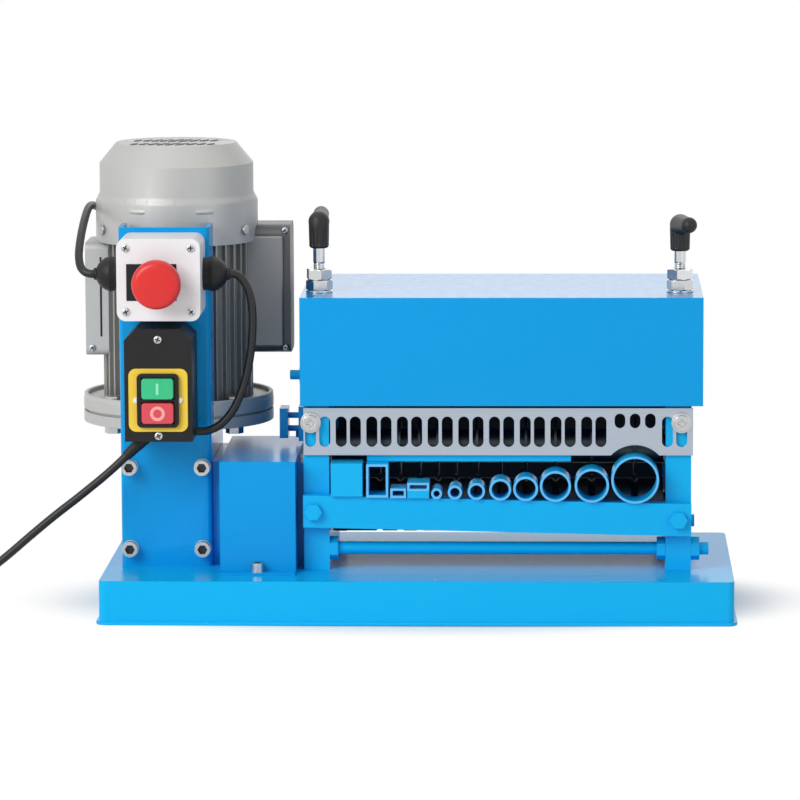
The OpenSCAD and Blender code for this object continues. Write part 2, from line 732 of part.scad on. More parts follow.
// rubber dome with a short outlet; the lead leaves its end
module dome() {
  translate([0, 0, -box_t - 2]) cylinder(d = dome_hole, h = box_t + 3);
  rotate_extrude() polygon(concat([[0, 0], [dome_d / 2, 0], [dome_d / 2, 4]],
    [for (a = [15:15:75]) [dome_d / 2 * cos(a) + 1.5, 4 + (dome_l - 4) * sin(a)]], [[5, dome_l], [0, dome_l]]));
  cylinder(d = cord_d + 3, h = dome_l + outlet_l);
}
outlet_l = 1.5;
module estop_domes() color("black") translate([estop_x, dome_y, dome_z]) for (s = [-1, 1])
  mirror([s < 0 ? 1 : 0, 0, 0]) translate([estop_w / 2, 0, 0]) along_x() dome();

module switch_outline(inset) {
  w = switch_w / 2 - inset;
  top = switch_h - inset;
  c = switch_chamfer;
  polygon([[-w, inset], [w, inset], [w, top - c], [w - c, top], [-w + c, top], [-w, top - c]]);
}
window_w = bezel_w - 4;
window_h = bezel_h - 4;
module switch_window(y, t) {
  translate([switch_x - window_w / 2, y, bezel_z + 2]) cube([window_w, t, window_h]);
}
module switch_box() color("dimgray") difference() {
  translate([switch_x, switch_front, switch_z]) panel(switch_d) switch_outline(0);
  translate([switch_x, switch_front + box_t, switch_z]) panel(switch_d) switch_outline(box_t);
  switch_window(switch_front - 1, box_t + 2);
  for (z = switch_screw_z) translate([switch_x, switch_front - 1, z])
    along_y() cylinder(d = screw_d + 2 * seat, h = box_t + 2);
}
module switch_plate() color("gold") difference() {
  translate([switch_x, switch_front - plate_t, plate_z + plate_h / 2]) panel(plate_t) rounded_rect(plate_w, plate_h, 6);
  switch_window(switch_front - plate_t - 1, plate_t + 2);
}
bezel_y = switch_front - plate_t - bezel_t;
module switch_bezel() color("black") difference() {
  translate([switch_x, bezel_y, bezel_z + bezel_h / 2]) panel(bezel_t) rounded_rect(bezel_w, bezel_h, 4);
  for (z = [start_z, stop_z]) translate([switch_x, bezel_y - 1, z])
    panel(bezel_t + 2) square([button_w + 2 * room, button_h + 2 * room], center = true);
}
module push_button(z) translate([switch_x, bezel_y - button_travel - 0.5, z])
  panel(bezel_t + plate_t + button_in + button_travel) rounded_rect(button_w, button_h, 2.5);
module start_button() color("green") push_button(start_z);
module stop_button() color("red") push_button(stop_z);
switch_block_y = switch_front + button_in + button_travel + 1;
module switch_contacts() color("black") translate([switch_x - window_w / 2, switch_block_y, bezel_z])
  cube([window_w, col_y - switch_block_y, bezel_h]);

// tie rods across the side plates: front one and rear one as [y, reach past the right plate]
rod_d = 10.5;
rod_af = 17;
rod_nut = 7;
rod_z = base_h + 17;
rod_at = [[head_y + 8, 2 * rod_nut], [side_back - 16, 6]];
rod_grip = 14;
bar_bolt_x = [head_x + side_t / 2 - 2, right_x + side_t / 2];
function bar_bolt_z(x) = bar_at(x) - bar_h / 2;
side_bolt = [head_y + 70, side_top - 71];
bolt_deep = 13;

// rear plate on the side plates' backs, with a slot for the split cable
rear_t = 3;
rear_z = roller_z - 10;
rear_h = 105;
outlet_z = roller_z + roller_d / 2 - 4;
outlet_h = 15;
outlet_edge = 6;
rear_screw_d = 6;
rear_screw_z = [rear_z + 10, rear_z + rear_h - 18];
module rear_hole(x, z, d, h) { translate([x, side_back + rear_t, z]) rotate([90, 0, 0]) cylinder(d = d, h = h); }

// side plate with its outer left face at x; the left one takes the rod ends blind
module side_plate(x, stud, bolt_x, slot_x) difference() {
  translate([x, head_y, base_h]) cube([side_t, side_d, side_h]);
  translate([x - 1, roller_y - block_d / 2 - thin, slot_low]) cube([side_t + 2, block_d + 2 * thin, slot_high - slot_low]);
  translate([x - 1, roller_y, roller_z]) along_x() cylinder(d = roller_bearing_d + 2 * seat, h = side_t + 2);
  translate([stud, roller_y, slot_high - 1]) cylinder(d = stud_d + 0.7, h = side_top - slot_high + 2);
  for (p = rod_at) translate([x < 0 ? x + side_t - rod_grip : x - 1, p[0], rod_z])
    along_x() cylinder(d = rod_d + 2 * seat, h = side_t + 2);
  translate([slot_x, head_y - 1, guide_bolt_z]) along_y() cylinder(d = guide_bolt_d + 2 * seat, h = bolt_deep + 2);
  translate([bolt_x, head_y - 1, bar_bolt_z(bolt_x)]) along_y() cylinder(d = bolt_d + 2 * seat, h = bolt_deep + 2);
  for (z = rear_screw_z) rear_hole(bolt_x, z, rear_screw_d + 2 * seat, rear_t + bolt_deep + 1);
  if (x < 0) translate([x - 1, side_bolt[0], side_bolt[1]]) along_x() cylinder(d = bolt_d + 2 * seat, h = bolt_deep + 2);
}
module left_side_plate() color("dodgerblue") side_plate(head_x, stud_x[0], bar_bolt_x[0], guide_bolt_x[0]);
module right_side_plate() color("dodgerblue") side_plate(right_x, stud_x[1], bar_bolt_x[1], guide_bolt_x[1]);

module front_crossbar() color("dodgerblue") difference() {
  translate([0, bar_y, 0]) panel(bar_d) polygon([for (c = [[0, 0], [1, 0], [1, 1], [0, 1]])
    let (x = head_x + c[0] * head_w) [x, bar_at(x) - bar_h * (1 - c[1])]]);
  for (x = bar_bolt_x) translate([x, bar_y - 1, bar_bolt_z(x)]) along_y() cylinder(d = bolt_d + 2 * seat, h = bar_d + 2);
}
module rear_plate() color("dodgerblue") difference() {
  translate([head_x, side_back, rear_z]) cube([head_w, rear_t, rear_h]);
  translate([inner_l + outlet_edge, side_back - 1, outlet_z]) cube([inner_w - 2 * outlet_edge, rear_t + 2, outlet_h]);
  for (x = bar_bolt_x, z = rear_screw_z) translate([0, 1, 0]) rear_hole(x, z, rear_screw_d + 2 * seat, rear_t + 2);
}
stub_l = 8;
boss_d = 15;
boss_t = 4.5;
rear_head_h = 3.5;
module head_bolts() color("royalblue") {
  for (x = bar_bolt_x) translate([x, bar_y, bar_bolt_z(x)]) along_y() {
    cylinder(d = bolt_d, h = bar_d + bolt_deep);
    translate([0, 0, -hex_h]) hex(hex_af, hex_h);
  }
  translate([top_x, side_bolt[0], side_bolt[1]]) along_x() {
    translate([0, 0, -boss_t - stub_l]) cylinder(d = bolt_d, h = boss_t + stub_l + head_x - top_x + bolt_deep);
    translate([0, 0, -boss_t]) cylinder(d = boss_d, h = boss_t);
  }
  for (x = bar_bolt_x, z = rear_screw_z) {
    rear_hole(x, z, rear_screw_d, rear_t + bolt_deep);
    translate([0, rear_head_h, 0]) rear_hole(x, z, 2 * rear_screw_d - 1, rear_head_h);
  }
}
// each rod: blind in the left plate, a collar inside each plate; the front one has a nut outside
module tie_rods() color("dodgerblue") for (p = rod_at) translate([0, p[0], rod_z]) along_x() {
  translate([0, 0, inner_l - rod_grip + 0.5]) cylinder(d = rod_d, h = inner_w + rod_grip + side_t + p[1]);
  for (x = [inner_l, right_x - rod_nut]) translate([0, 0, x]) hex(rod_af, rod_nut);
  if (p[1] > rod_nut) translate([0, 0, right_x + side_t]) hex(rod_af, rod_nut);
}

module box_tube(w, h) difference() {
  square([w, h], center = true);
  square([w - 2 * tube_t, h - 2 * tube_t], center = true);
}
// a flat tube stands on its left bottom edge, a round one touches the sloping bar
function tube_foot(t) = bar_at(t[0] - t[1] / 2);
function round_mid(t) = bar_at(t[0]) + seat + t[1] / 2 * sqrt(1 + bar_slope * bar_slope);
module guide_tubes() color("dodgerblue") {
  for (t = flat_tubes) translate([t[0], tube_y, tube_foot(t) + (t[2] < 7.5 ? riser_h : 0) + t[2] / 2])
    panel(tube_l) box_tube(t[1], t[2]);
  for (t = round_tubes) translate([t[0], tube_y, round_mid(t)])
    along_y() ring(t[1], t[1] - 2 * tube_t, tube_l);
}
// left block, riser under the third tube, strip from the tall tube's top to the large tubes
strip_l = flat_tubes[0][0] - flat_tubes[0][1] / 2;
strip_r = round_tubes[5][0] + round_tubes[5][1] / 2;
strip_z = tube_foot(flat_tubes[0]) + flat_tubes[0][2];
riser_x = flat_tubes[2][0] - flat_tubes[2][1] / 2;
module tube_blocks() color("dodgerblue") {
  translate([block_x, tube_y, bar_at(block_x)]) cube([block_w, tube_l, flat_tubes[0][2]]);
  translate([riser_x, tube_y, tube_foot(flat_tubes[2])]) cube([flat_tubes[2][1], tube_l, riser_h]);
  translate([strip_l, head_y, strip_z]) cube([strip_r - strip_l, 8, strip_h]);
}
oval_z = guide_z + guide_h - 10.5;
module guide_plate() color("lightgray") translate([0, guide_y, 0]) panel(guide_t) difference() {
  translate([guide_x, guide_z]) square([guide_w, guide_h]);
  for (x = slots) translate([x, slot_mid]) oblong(slot_w, slot_l);
  for (x = ovals) translate([x, oval_z]) oblong(8.6, 12);
  translate([round_tubes[7][0], round_mid(round_tubes[7])]) circle(r = arch_r);
}
module guide_bolts() color("silver") for (x = guide_bolt_x) translate([x, guide_y - 0.1, guide_bolt_z]) along_y() {
  translate([0, 0, -washer_t]) ring(washer_d, guide_bolt_d, washer_t);
  translate([0, 0, -washer_t]) cylinder(d = guide_bolt_d, h = washer_t + guide_t + 0.2 + bolt_deep);
  translate([0, 0, -washer_t - pan_h]) difference() {
    cylinder(d = pan_d, h = pan_h);
    for (a = [0, 90]) rotate(a) cube([pan_d * 0.55, 2, pan_h], center = true);
  }
}
pan_d = 13;
pan_h = 4;
module top_cover() color("dodgerblue") difference() {
  translate([top_x, top_y, top_z]) cube([top_w, top_d, top_h]);
  translate([top_x + cover_t, top_y + cover_t, top_z - 1])
    cube([top_w - 2 * cover_t, top_d - 2 * cover_t, top_h - cover_t + 1]);
  for (x = stud_x) translate([x, roller_y, top_top - cover_t - 1]) cylinder(d = stud_d + 2, h = cover_t + 2);
  translate([top_x - 1, side_bolt[0], side_bolt[1]]) along_x() cylinder(d = bolt_d + 2 * thin, h = cover_t + 2);
}
roller_l = inner_l + 1.5;
roller_end = inner_l + inner_w - 1.5;
groove_w = 3;
groove_d = 2.5;
module feed_roller() color("silver") translate([0, roller_y, roller_z]) along_x() {
  rotate_extrude($fn = 72) polygon(concat([[0, roller_l], [roller_d / 2, roller_l]],
    [for (c = lanes) each [[roller_d / 2, c - groove_w], [roller_d / 2 - groove_d, c], [roller_d / 2, c + groove_w]]],
    [[roller_d / 2, roller_end], [0, roller_end]]));
  translate([0, 0, gear_x - 2]) cylinder(d = shaft_d, h = right_x + side_t - 3 - gear_x);
}
module knife_shaft() color("silver") translate([head_x + 1, roller_y, knife_z])
  along_x() cylinder(d = knife_d, h = head_w - 2);
sleeve_d = knife_d + 10;
knife_ends = [inner_l + 1, inner_l + inner_w - 1];
function sleeve_from(i) = i == 0 ? knife_ends[0] : lanes[i - 1] + blade_t / 2 + seat;
function sleeve_to(i) = i == len(lanes) ? knife_ends[1] : lanes[i] - blade_t / 2 - seat;
module knife_blades() color("gray") translate([0, roller_y, knife_z]) {
  for (x = lanes) translate([x - blade_t / 2, 0, 0]) along_x() ring(blade_d, knife_d + 2 * seat, blade_t);
  for (i = [0:len(lanes)]) translate([sleeve_from(i), 0, 0])
    along_x() ring(sleeve_d, knife_d + 2 * seat, sleeve_to(i) - sleeve_from(i));
}
module bearing_blocks() color("dimgray") for (x = [head_x, right_x]) difference() {
  translate([x + 0.5, roller_y - block_d / 2, block_low]) cube([side_t - 1, block_d, block_h]);
  translate([x - 1, roller_y, knife_z]) along_x() cylinder(d = knife_d + 2 * run, h = side_t + 2);
}

// lever: stud down to the bearing block, tapered hub, arm with a round end
hub_taper = 0.7;
arm_rise = 3;
arm_d = 13;
head_d = hub_d + 0.5;
head_at = hub_h - 3.5;
module lever(x, z, turn) translate([x, roller_y, 0]) {
  translate([0, 0, stud_low]) cylinder(d = stud_d, h = z - stud_low + 4);
  translate([0, 0, z]) cylinder(d1 = hub_d - hub_taper, d2 = hub_d, h = hub_h, $fn = 32);
  rotate(turn) hull() {
    translate([1, 0, z + head_at]) sphere(d = head_d, $fn = 24);
    translate([lever_l - arm_d / 2, 0, z + head_at + arm_rise]) sphere(d = arm_d, $fn = 24);
  }
}
module left_lever() color("black") lever(stud_x[0], hub_z, lever_turn[0]);
module right_lever() color("black") lever(stud_x[1], hub_z - right_low, lever_turn[1]);
// two nuts on a washer at each stud
module stud_nuts() color("silver") for (x = stud_x) translate([x, roller_y, top_top]) {
  ring(nut_af + 3, stud_d + 2 * run, washer_t);
  for (i = [0, 1]) translate([0, 0, washer_t + i * nut_h]) difference() {
    hex(nut_af, nut_h - 0.1);
    translate([0, 0, -1]) cylinder(d = stud_d + 2 * run, h = nut_h + 2);
  }
}

// small bracket on the left side plate: block, two studs and an end plate
bracket_y = head_y + 70;
bracket_z = guide_z + 3;
bracket_h = 25;
module side_bracket() color("dodgerblue") translate([head_x, bracket_y, bracket_z]) {
  translate([-8, 0, -2]) cube([8, 30, bracket_h + 4]);
  for (z = [7, bracket_h - 7]) translate([-17, 15, z]) along_x() cylinder(d = 5, h = 9);
  translate([-24, 4, 0]) cube([7, 22, bracket_h]);
  translate([-11.5, 24, 2]) along_x() hex(7, 3.5);
}

// tube swept along points, frames carried from ring to ring, all faces triangles
function unit(v) = v / norm(v);
function heading(p, i) = unit(p[min(i + 1, len(p) - 1)] - p[max(i - 1, 0)]);
function carried(n, t) = unit(n - (n * t) * t);
function normals(p, i = 0, n = [0.3, 1, 0.2]) =
  i >= len(p) ? [] : let (m = carried(n, heading(p, i))) concat([m], normals(p, i + 1, m));
module sweep(p, d, sides) {
  side = normals(p);
  last = len(p) - 1;
  points = [for (i = [0:last]) for (k = [0:sides - 1]) let (a = 360 * k / sides, t = heading(p, i))
    p[i] + d / 2 * (cos(a) * side[i] + sin(a) * cross(t, side[i]))];
  walls = [for (i = [0:last - 1]) for (k = [0:sides - 1]) let (a = i * sides + k, b = i * sides + (k + 1) % sides)
    each [[a, a + sides, b], [b, a + sides, b + sides]]];
  caps = [for (k = [1:sides - 2]) each [[0, k, k + 1], [last * sides, last * sides + k + 1, last * sides + k]]];
  polyhedron(points, concat(walls, caps));
}

motor_lead_route = [[-261.7, 55.5, 281], [-264.8, 55.5, 281], [-269.6, 57.2, 282.6], [-273.4, 62.2, 286.8],
  [-275.4, 71, 293.6], [-276, 82, 300.2], [-276.2, 96, 307], [-276.3, 112, 313], [-276.4, 130, 318.3], [-276.5, 148, 322.3],
  [-276.6, 166, 324.6], [-276.4, 182, 325], [-275, 196, 323.8], [-271.8, 208.5, 320.6], [-267.8, 218.5, 314.8],
  [-264.4, 226, 306], [-262.6, 230.6, 295], [-262, 232.4, 283], [-262.8, 231.2, 271.5], [-265.2, 226.4, 262.2],
  [-267.8, 219.6, 257], [-268.6, 213.4, 256], [-268.6, 209.1, 256]];
module motor_lead() color("black") sweep(motor_lead_route, cord_d, 8);

switch_lead_route = [[-150.3, 55.5, 281], [-147, 55.5, 281], [-142, 55.2, 278.4], [-137.8, 54.5, 272.8], [-134.7, 54, 266],
  [-132.9, 53.5, 258], [-132.1, 53, 249.5], [-132, 52.6, 240], [-132.4, 52.3, 230], [-133.4, 52, 219.5], [-135.2, 52, 208],
  [-138, 52, 195.5], [-142, 52, 183], [-147.3, 52, 171.5], [-153.8, 52, 162.3], [-161.5, 52, 155.6], [-170, 52, 152.2],
  [-179.3, 52, 151.6]];
module switch_lead() color("black") sweep(switch_lead_route, cord_d, 8);

cord_route = [[-236, 45, 132.2], [-245, 45, 123.6], [-255, 45, 114.8], [-266, 45, 105.8], [-278, 45, 96.2],
  [-291, 45, 86.2], [-304, 45, 75.7], [-318, 45, 63.9], [-333, 45, 51], [-346, 45, 40.6], [-359, 45, 30.8], [-372, 45, 21.8],
  [-385, 45, 14], [-397, 45, 8.4], [-408, 45, 4.8], [-418, 45, 3.6], [-425, 45, 3.6]];
cord_end = cord_route[len(cord_route) - 1];
cord_dir = unit(cord_route[0] - cord_route[1]);
module power_cord() color("black") sweep(cord_route, cord_d, 8);

// strain relief: tapered sleeve on the cord, cut flush with the box's underside
relief_l = 22;
relief_tilt = atan2(-cord_dir[0], cord_dir[2]);
module cord_gland() color("black") intersection() {
  translate(cord_route[0]) rotate([0, -relief_tilt, 0]) translate([0, 0, 0.1])
    cylinder(d1 = cord_d + 1.6, d2 = cord_d + 5, h = relief_l + 10);
  translate([-400, 0, switch_z - 100]) cube([400, 100, 100]);
}

// coil: spirals in on the bench, climbs in half a turn, spirals out on top
coil_step = cord_d + 0.7;
coil_out = coil_r + coil_step * coil_turns / 2;
coil_low = cord_end[2];
coil_high = coil_low + cord_d + 0.7;
coil_x = cord_end[0] - cord_d;
coil_y = cord_end[1] + coil_out;
loop_rings = 24;
tail_l = 34;
ring_n = round(coil_turns * loop_rings);
function climb(t) = let (s = min(max(t - coil_turns / 2 + 0.25, 0), 0.5) * 2) s * s * (3 - 2 * s);
function coil_at(t) = let (r = coil_out - coil_step * min(t, coil_turns - t), a = -90 - 360 * t)
  [coil_x + r * cos(a), coil_y + r * sin(a), coil_low + (coil_high - coil_low) * climb(t)];
coil_path = concat([cord_end + [-0.1, 0, 0]], [for (i = [0:ring_n]) coil_at(i * coil_turns / ring_n)],
  [for (l = [cord_d, tail_l]) coil_at(coil_turns) + [0, l, 0]]);
module cord_coil() color("black") sweep(coil_path, cord_d, 6);
coil_gap = min([for (i = [0:len(coil_path) - 1]) for (j = [i + loop_rings / 2:1:len(coil_path) - 1])
  norm(coil_path[i] - coil_path[j])]) - cord_d;
echo(coil_gap = coil_gap);

plug_w = 30;
plug_l = 32;
plug_h = 2 * coil_high - 2 * thin;
pin_l = 18;
plug_at = coil_path[len(coil_path) - 1] + [0, 0.1, 0];
module power_plug() color("black") translate(plug_at) {
  along_y() cylinder(d1 = cord_d + 2, d2 = plug_h - 6, h = 16);
  translate([0, 12, 0]) panel(plug_l) rounded_rect(plug_w, plug_h, 7);
  for (p = [[-7, 3], [7, 3], [0, -5]]) translate([p[0], 11 + plug_l, p[1]]) panel(pin_l + 1) square([2, 6.4], center = true);
}

placed() base_tray();
placed() column_channel();
placed() frame_bolts();
placed() gearbox_housing();
placed() worm_shaft();
placed() worm_wheel();
placed() output_shaft();
placed() ball_bearings();
placed() drive_gear();
placed() roller_gear();
placed() drive_cover();
placed() motor_flange();
placed() motor_housing();
placed() motor_stator();
placed() motor_rotor();
placed() motor_fan();
placed() fan_cover();
placed() fan_cover_screws();
placed() terminal_box();
placed() capacitor_box();
placed() capacitors();
placed() estop_box();
placed() estop_lid();
placed() case_screws();
placed() estop_collar();
placed() estop_plunger();
placed() estop_cap();
placed() estop_contacts();
placed() estop_domes();
placed() motor_lead();
placed() switch_lead();
placed() switch_box();
placed() switch_plate();
placed() switch_bezel();
placed() start_button();
placed() stop_button();
placed() switch_contacts();
placed() cord_gland();
placed() power_cord();
placed() cord_coil();
placed() power_plug();
placed() left_side_plate();
placed() right_side_plate();
placed() front_crossbar();
placed() head_bolts();
placed() tie_rods();
placed() guide_tubes();
placed() tube_blocks();
placed() guide_plate();
placed() guide_bolts();
placed() top_cover();
placed() feed_roller();
placed() knife_shaft();
placed() knife_blades();
placed() bearing_blocks();
placed() left_lever();
placed() right_lever();
placed() stud_nuts();
placed() side_bracket();
placed() rear_plate();
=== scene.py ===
# Bench wire stripping machine: finishes, cords and detailed pieces around the fixed frame
import json
import math
import bpy
import bmesh
from mathutils import Matrix, Vector

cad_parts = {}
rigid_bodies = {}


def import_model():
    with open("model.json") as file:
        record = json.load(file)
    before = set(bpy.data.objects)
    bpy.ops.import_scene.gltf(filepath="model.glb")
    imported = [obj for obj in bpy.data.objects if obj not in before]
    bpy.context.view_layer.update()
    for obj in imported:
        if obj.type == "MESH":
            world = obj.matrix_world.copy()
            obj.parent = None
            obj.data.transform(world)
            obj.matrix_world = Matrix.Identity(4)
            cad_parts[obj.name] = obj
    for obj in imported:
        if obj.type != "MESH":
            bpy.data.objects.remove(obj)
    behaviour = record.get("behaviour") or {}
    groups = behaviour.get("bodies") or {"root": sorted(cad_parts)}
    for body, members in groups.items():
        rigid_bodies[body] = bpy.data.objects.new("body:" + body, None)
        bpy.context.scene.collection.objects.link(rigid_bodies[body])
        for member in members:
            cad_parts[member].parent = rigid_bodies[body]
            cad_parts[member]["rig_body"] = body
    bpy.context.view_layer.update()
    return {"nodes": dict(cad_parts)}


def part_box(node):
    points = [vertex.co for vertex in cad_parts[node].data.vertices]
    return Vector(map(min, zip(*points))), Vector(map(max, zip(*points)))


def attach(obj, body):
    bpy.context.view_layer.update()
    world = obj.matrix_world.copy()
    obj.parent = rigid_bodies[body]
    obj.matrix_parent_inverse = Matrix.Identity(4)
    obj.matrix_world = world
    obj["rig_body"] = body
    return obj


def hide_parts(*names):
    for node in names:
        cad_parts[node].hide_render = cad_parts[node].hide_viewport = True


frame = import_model()
print("frame loaded")

mm = 0.001
scene = bpy.context.scene
baseLow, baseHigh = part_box("base_tray")
lipOut = 2.5   # the tray's lip stands out this far, so the tray's own front is behind it
baseMiddle = 2.0   # the tray sits this far to the right of the machine's middle line
origin = Vector(((baseLow[0] + baseHigh[0]) / 2 - baseMiddle * mm, baseLow[1] + lipOut * mm, 0))


def at(x, y, z):   # machine millimetres (middle line, base front, bench) to frame metres
    return origin + Vector((x, y, z)) * mm


def nodeBox(node):   # a node's box in machine millimetres
    low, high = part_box(node)
    return (Vector(low) - origin) / mm, (Vector(high) - origin) / mm


def linear(hexColour):   # sRGB hex to linear RGBA
    parts = [int(hexColour[i:i + 2], 16) / 255 for i in (1, 3, 5)]
    return tuple(c / 12.92 if c <= 0.04045 else ((c + 0.055) / 1.055) ** 2.4 for c in parts) + (1.0,)


def addNode(tree, kind, settings=None, links=None):   # one node with its settings and links
    made = tree.nodes.new(kind)
    for key, value in (settings or {}).items():
        if isinstance(key, str) and hasattr(made, key):
            setattr(made, key, value)
        else:
            made.inputs[key].default_value = value
    for key, source in (links or {}).items():
        tree.links.new(source, made.inputs[key])
    return made


def newMaterial(name, hexColour, **sockets):   # a Principled material; sockets by name with spaces as _
    made = bpy.data.materials.new(name)
    made.use_nodes = True
    shader = made.node_tree.nodes["Principled BSDF"]
    shader.inputs["Base Color"].default_value = linear(hexColour)
    for key, value in sockets.items():
        shader.inputs[key.replace("_", " ")].default_value = value
    return made, made.node_tree, shader


# camera: a long lens a few metres in front and a little above, as in the photograph
view = {
    "place": (129.3, -3784.0, 697.8), "yaw": -2.108, "pitch": 7.718, "roll": -0.258,
    "focal": 4743.0, "pixels": 800, "sensor": 36, "clip": 50}
lens = bpy.data.cameras.new("photo_camera")
lens.sensor_width = view["sensor"]
lens.lens = view["focal"] / view["pixels"] * lens.sensor_width
lens.clip_end = view["clip"]
camera = bpy.data.objects.new("photo_camera", lens)
scene.collection.objects.link(camera)
camera.location = at(*view["place"])
yaw = Matrix.Rotation(math.radians(-view["yaw"]), 4, "Z")
pitch = Matrix.Rotation(math.radians(90 - view["pitch"]), 4, "X")
roll = Matrix.Rotation(math.radians(view["roll"]), 4, "Z")
camera.rotation_euler = (yaw @ pitch @ roll).to_euler()
scene.camera = camera

# soft studio: large key from the left front, weak fill from the right, a panel above and a rim behind
lamps = {
    "key_left": {"from": (-1500, -1700, 1400), "size": 1.5, "watts": 45},
    "fill_right": {"from": (1700, -1500, 900), "size": 1.6, "watts": 8},
    "top_panel": {"from": (60, 300, 1800), "size": 1.8, "watts": 6},
    "back_rim": {"from": (300, 1900, 1100), "size": 1.4, "watts": 4},
}
aim = at(0, 110, 160)   # the middle of the machine
for name, lamp in lamps.items():
    light = bpy.data.lights.new(name, "AREA")
    light.size = lamp["size"]
    light.energy = lamp["watts"]
    holder = bpy.data.objects.new(name, light)
    scene.collection.objects.link(holder)
    holder.location = at(*lamp["from"])
    holder.rotation_euler = (aim - holder.location).to_track_quat("-Z", "Y").to_euler()

scene.view_settings.view_transform = "Standard"


def whiteToCamera(tree, shaded, out, share=None):   # white where the camera or a mirror looks, or a share of it
    path = addNode(tree, "ShaderNodeLightPath")
    seen = path.outputs["Is Camera Ray"]
    for ray in ("Is Glossy Ray", "Is Transmission Ray"):
        seen = addNode(tree, "ShaderNodeMath", {"operation": "MAXIMUM"}, {0: seen, 1: path.outputs[ray]}).outputs[0]
    whiteKind = "ShaderNodeBackground" if shaded.bl_idname == "ShaderNodeBackground" else "ShaderNodeEmission"
    white = addNode(tree, whiteKind, {"Color": (1, 1, 1, 1), "Strength": 1.0})
    if share:
        seen = addNode(tree, "ShaderNodeMath", {"operation": "MULTIPLY"}, {0: seen, 1: share}).outputs[0]
    mixed = addNode(tree, "ShaderNodeMixShader", {}, {0: seen, 1: shaded.outputs[0], 2: white.outputs[0]})
    tree.links.new(mixed.outputs[0], out.inputs["Surface"])


world = bpy.data.worlds.new("studio")
scene.world = world
world.use_nodes = True
worldTree = world.node_tree
worldTree.nodes.clear()
worldOut = addNode(worldTree, "ShaderNodeOutputWorld")
worldDim = addNode(worldTree, "ShaderNodeBackground", {"Color": linear("#f4f4f4"), "Strength": 0.3})
whiteToCamera(worldTree, worldDim, worldOut)

# floor: pale card that keeps the contact shadow; it fades to white over an oval round the base, sizes in metres
card = {"reach": 4.0, "down": 0.0004, "oval": (0.27, 0.14), "fadeFrom": 0.85, "fadeTo": 1.3}
floorMesh = bpy.data.meshes.new("floor")
corners = [(x * card["reach"], y * card["reach"], 0) for x, y in ((-1, -1), (1, -1), (1, 1), (-1, 1))]
floorMesh.from_pydata(corners, [], [(0, 1, 2, 3)])
floor = bpy.data.objects.new("floor", floorMesh)
scene.collection.objects.link(floor)
floor.location.z = -card["down"]
floorCard, floorTree, floorShader = newMaterial(
    "matt white card", "#fdfdfd", Roughness=0.9, Specular_IOR_Level=0.1)
floorPlace = addNode(floorTree, "ShaderNodeTexCoord")
floorMid = (Vector(baseLow) + Vector(baseHigh)) / 2
ovalScale = (1 / card["oval"][0], 1 / card["oval"][1], 0)
fromMid = addNode(floorTree, "ShaderNodeVectorMath", {"operation": "SUBTRACT", 1: tuple(floorMid)},
                  {0: floorPlace.outputs["Object"]})
inOvals = addNode(floorTree, "ShaderNodeVectorMath", {"operation": "MULTIPLY", 1: ovalScale},
                  {0: fromMid.outputs[0]})
howFar = addNode(floorTree, "ShaderNodeVectorMath", {"operation": "LENGTH"}, {0: inOvals.outputs[0]})
fadeSteps = {"interpolation_type": "SMOOTHSTEP", "From Min": card["fadeFrom"], "From Max": card["fadeTo"]}
fade = addNode(floorTree, "ShaderNodeMapRange", fadeSteps, {"Value": howFar.outputs["Value"]})
whiteToCamera(floorTree, floorShader, floorTree.nodes["Material Output"], fade.outputs[0])
floorMesh.materials.append(floorCard)
print("camera, lights and floor made")


def makeObject(name, mesh, body, materials, replaced=()):   # links a mesh as a piece that rides on a body
    made = bpy.data.objects.new(name, mesh)
    scene.collection.objects.link(made)
    for material in materials:
        mesh.materials.append(material)
    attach(made, body)
    if replaced:
        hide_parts(*replaced)
    return made


def meshFrom(name, bm, smoothAngle=32):   # bmesh to mesh, smooth up to an angle
    mesh = bpy.data.meshes.new(name)
    bm.normal_update()
    bm.to_mesh(mesh)
    bm.free()
    mesh.polygons.foreach_set("use_smooth", [True] * len(mesh.polygons))
    mesh.set_sharp_from_angle(angle=math.radians(smoothAngle))
    return mesh


def smoothRoute(points, steps=6):   # Catmull-Rom points through a route
    dense = []
    for i in range(len(points) - 1):
        a, b, c, d = (Vector(points[min(max(i + k, 0), len(points) - 1)]) for k in (-1, 0, 1, 2))
        for s in range(steps):
            t = s / steps
            square, cube = 2 * a - 5 * b + 4 * c - d, 3 * b - a - 3 * c + d
            dense.append(0.5 * (2 * b + (c - a) * t + square * t * t + cube * t ** 3))
    return dense + [Vector(points[-1])]


def makeCord(name, route, diameter, material, replaced):   # round sheath along a route in machine millimetres
    curve = bpy.data.curves.new(name, "CURVE")
    curve.dimensions = "3D"
    curve.bevel_depth = diameter / 2 * mm
    curve.bevel_resolution = 5
    curve.use_fill_caps = True
    spline = curve.splines.new("POLY")
    spline.points.add(len(route) - 1)
    for point, place in zip(spline.points, route):
        point.co = (*at(*place), 1)
    spline.use_smooth = True
    curve.materials.append(material)
    made = bpy.data.objects.new(name, curve)
    scene.collection.objects.link(made)
    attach(made, "frame")
    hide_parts(*replaced)
    return made


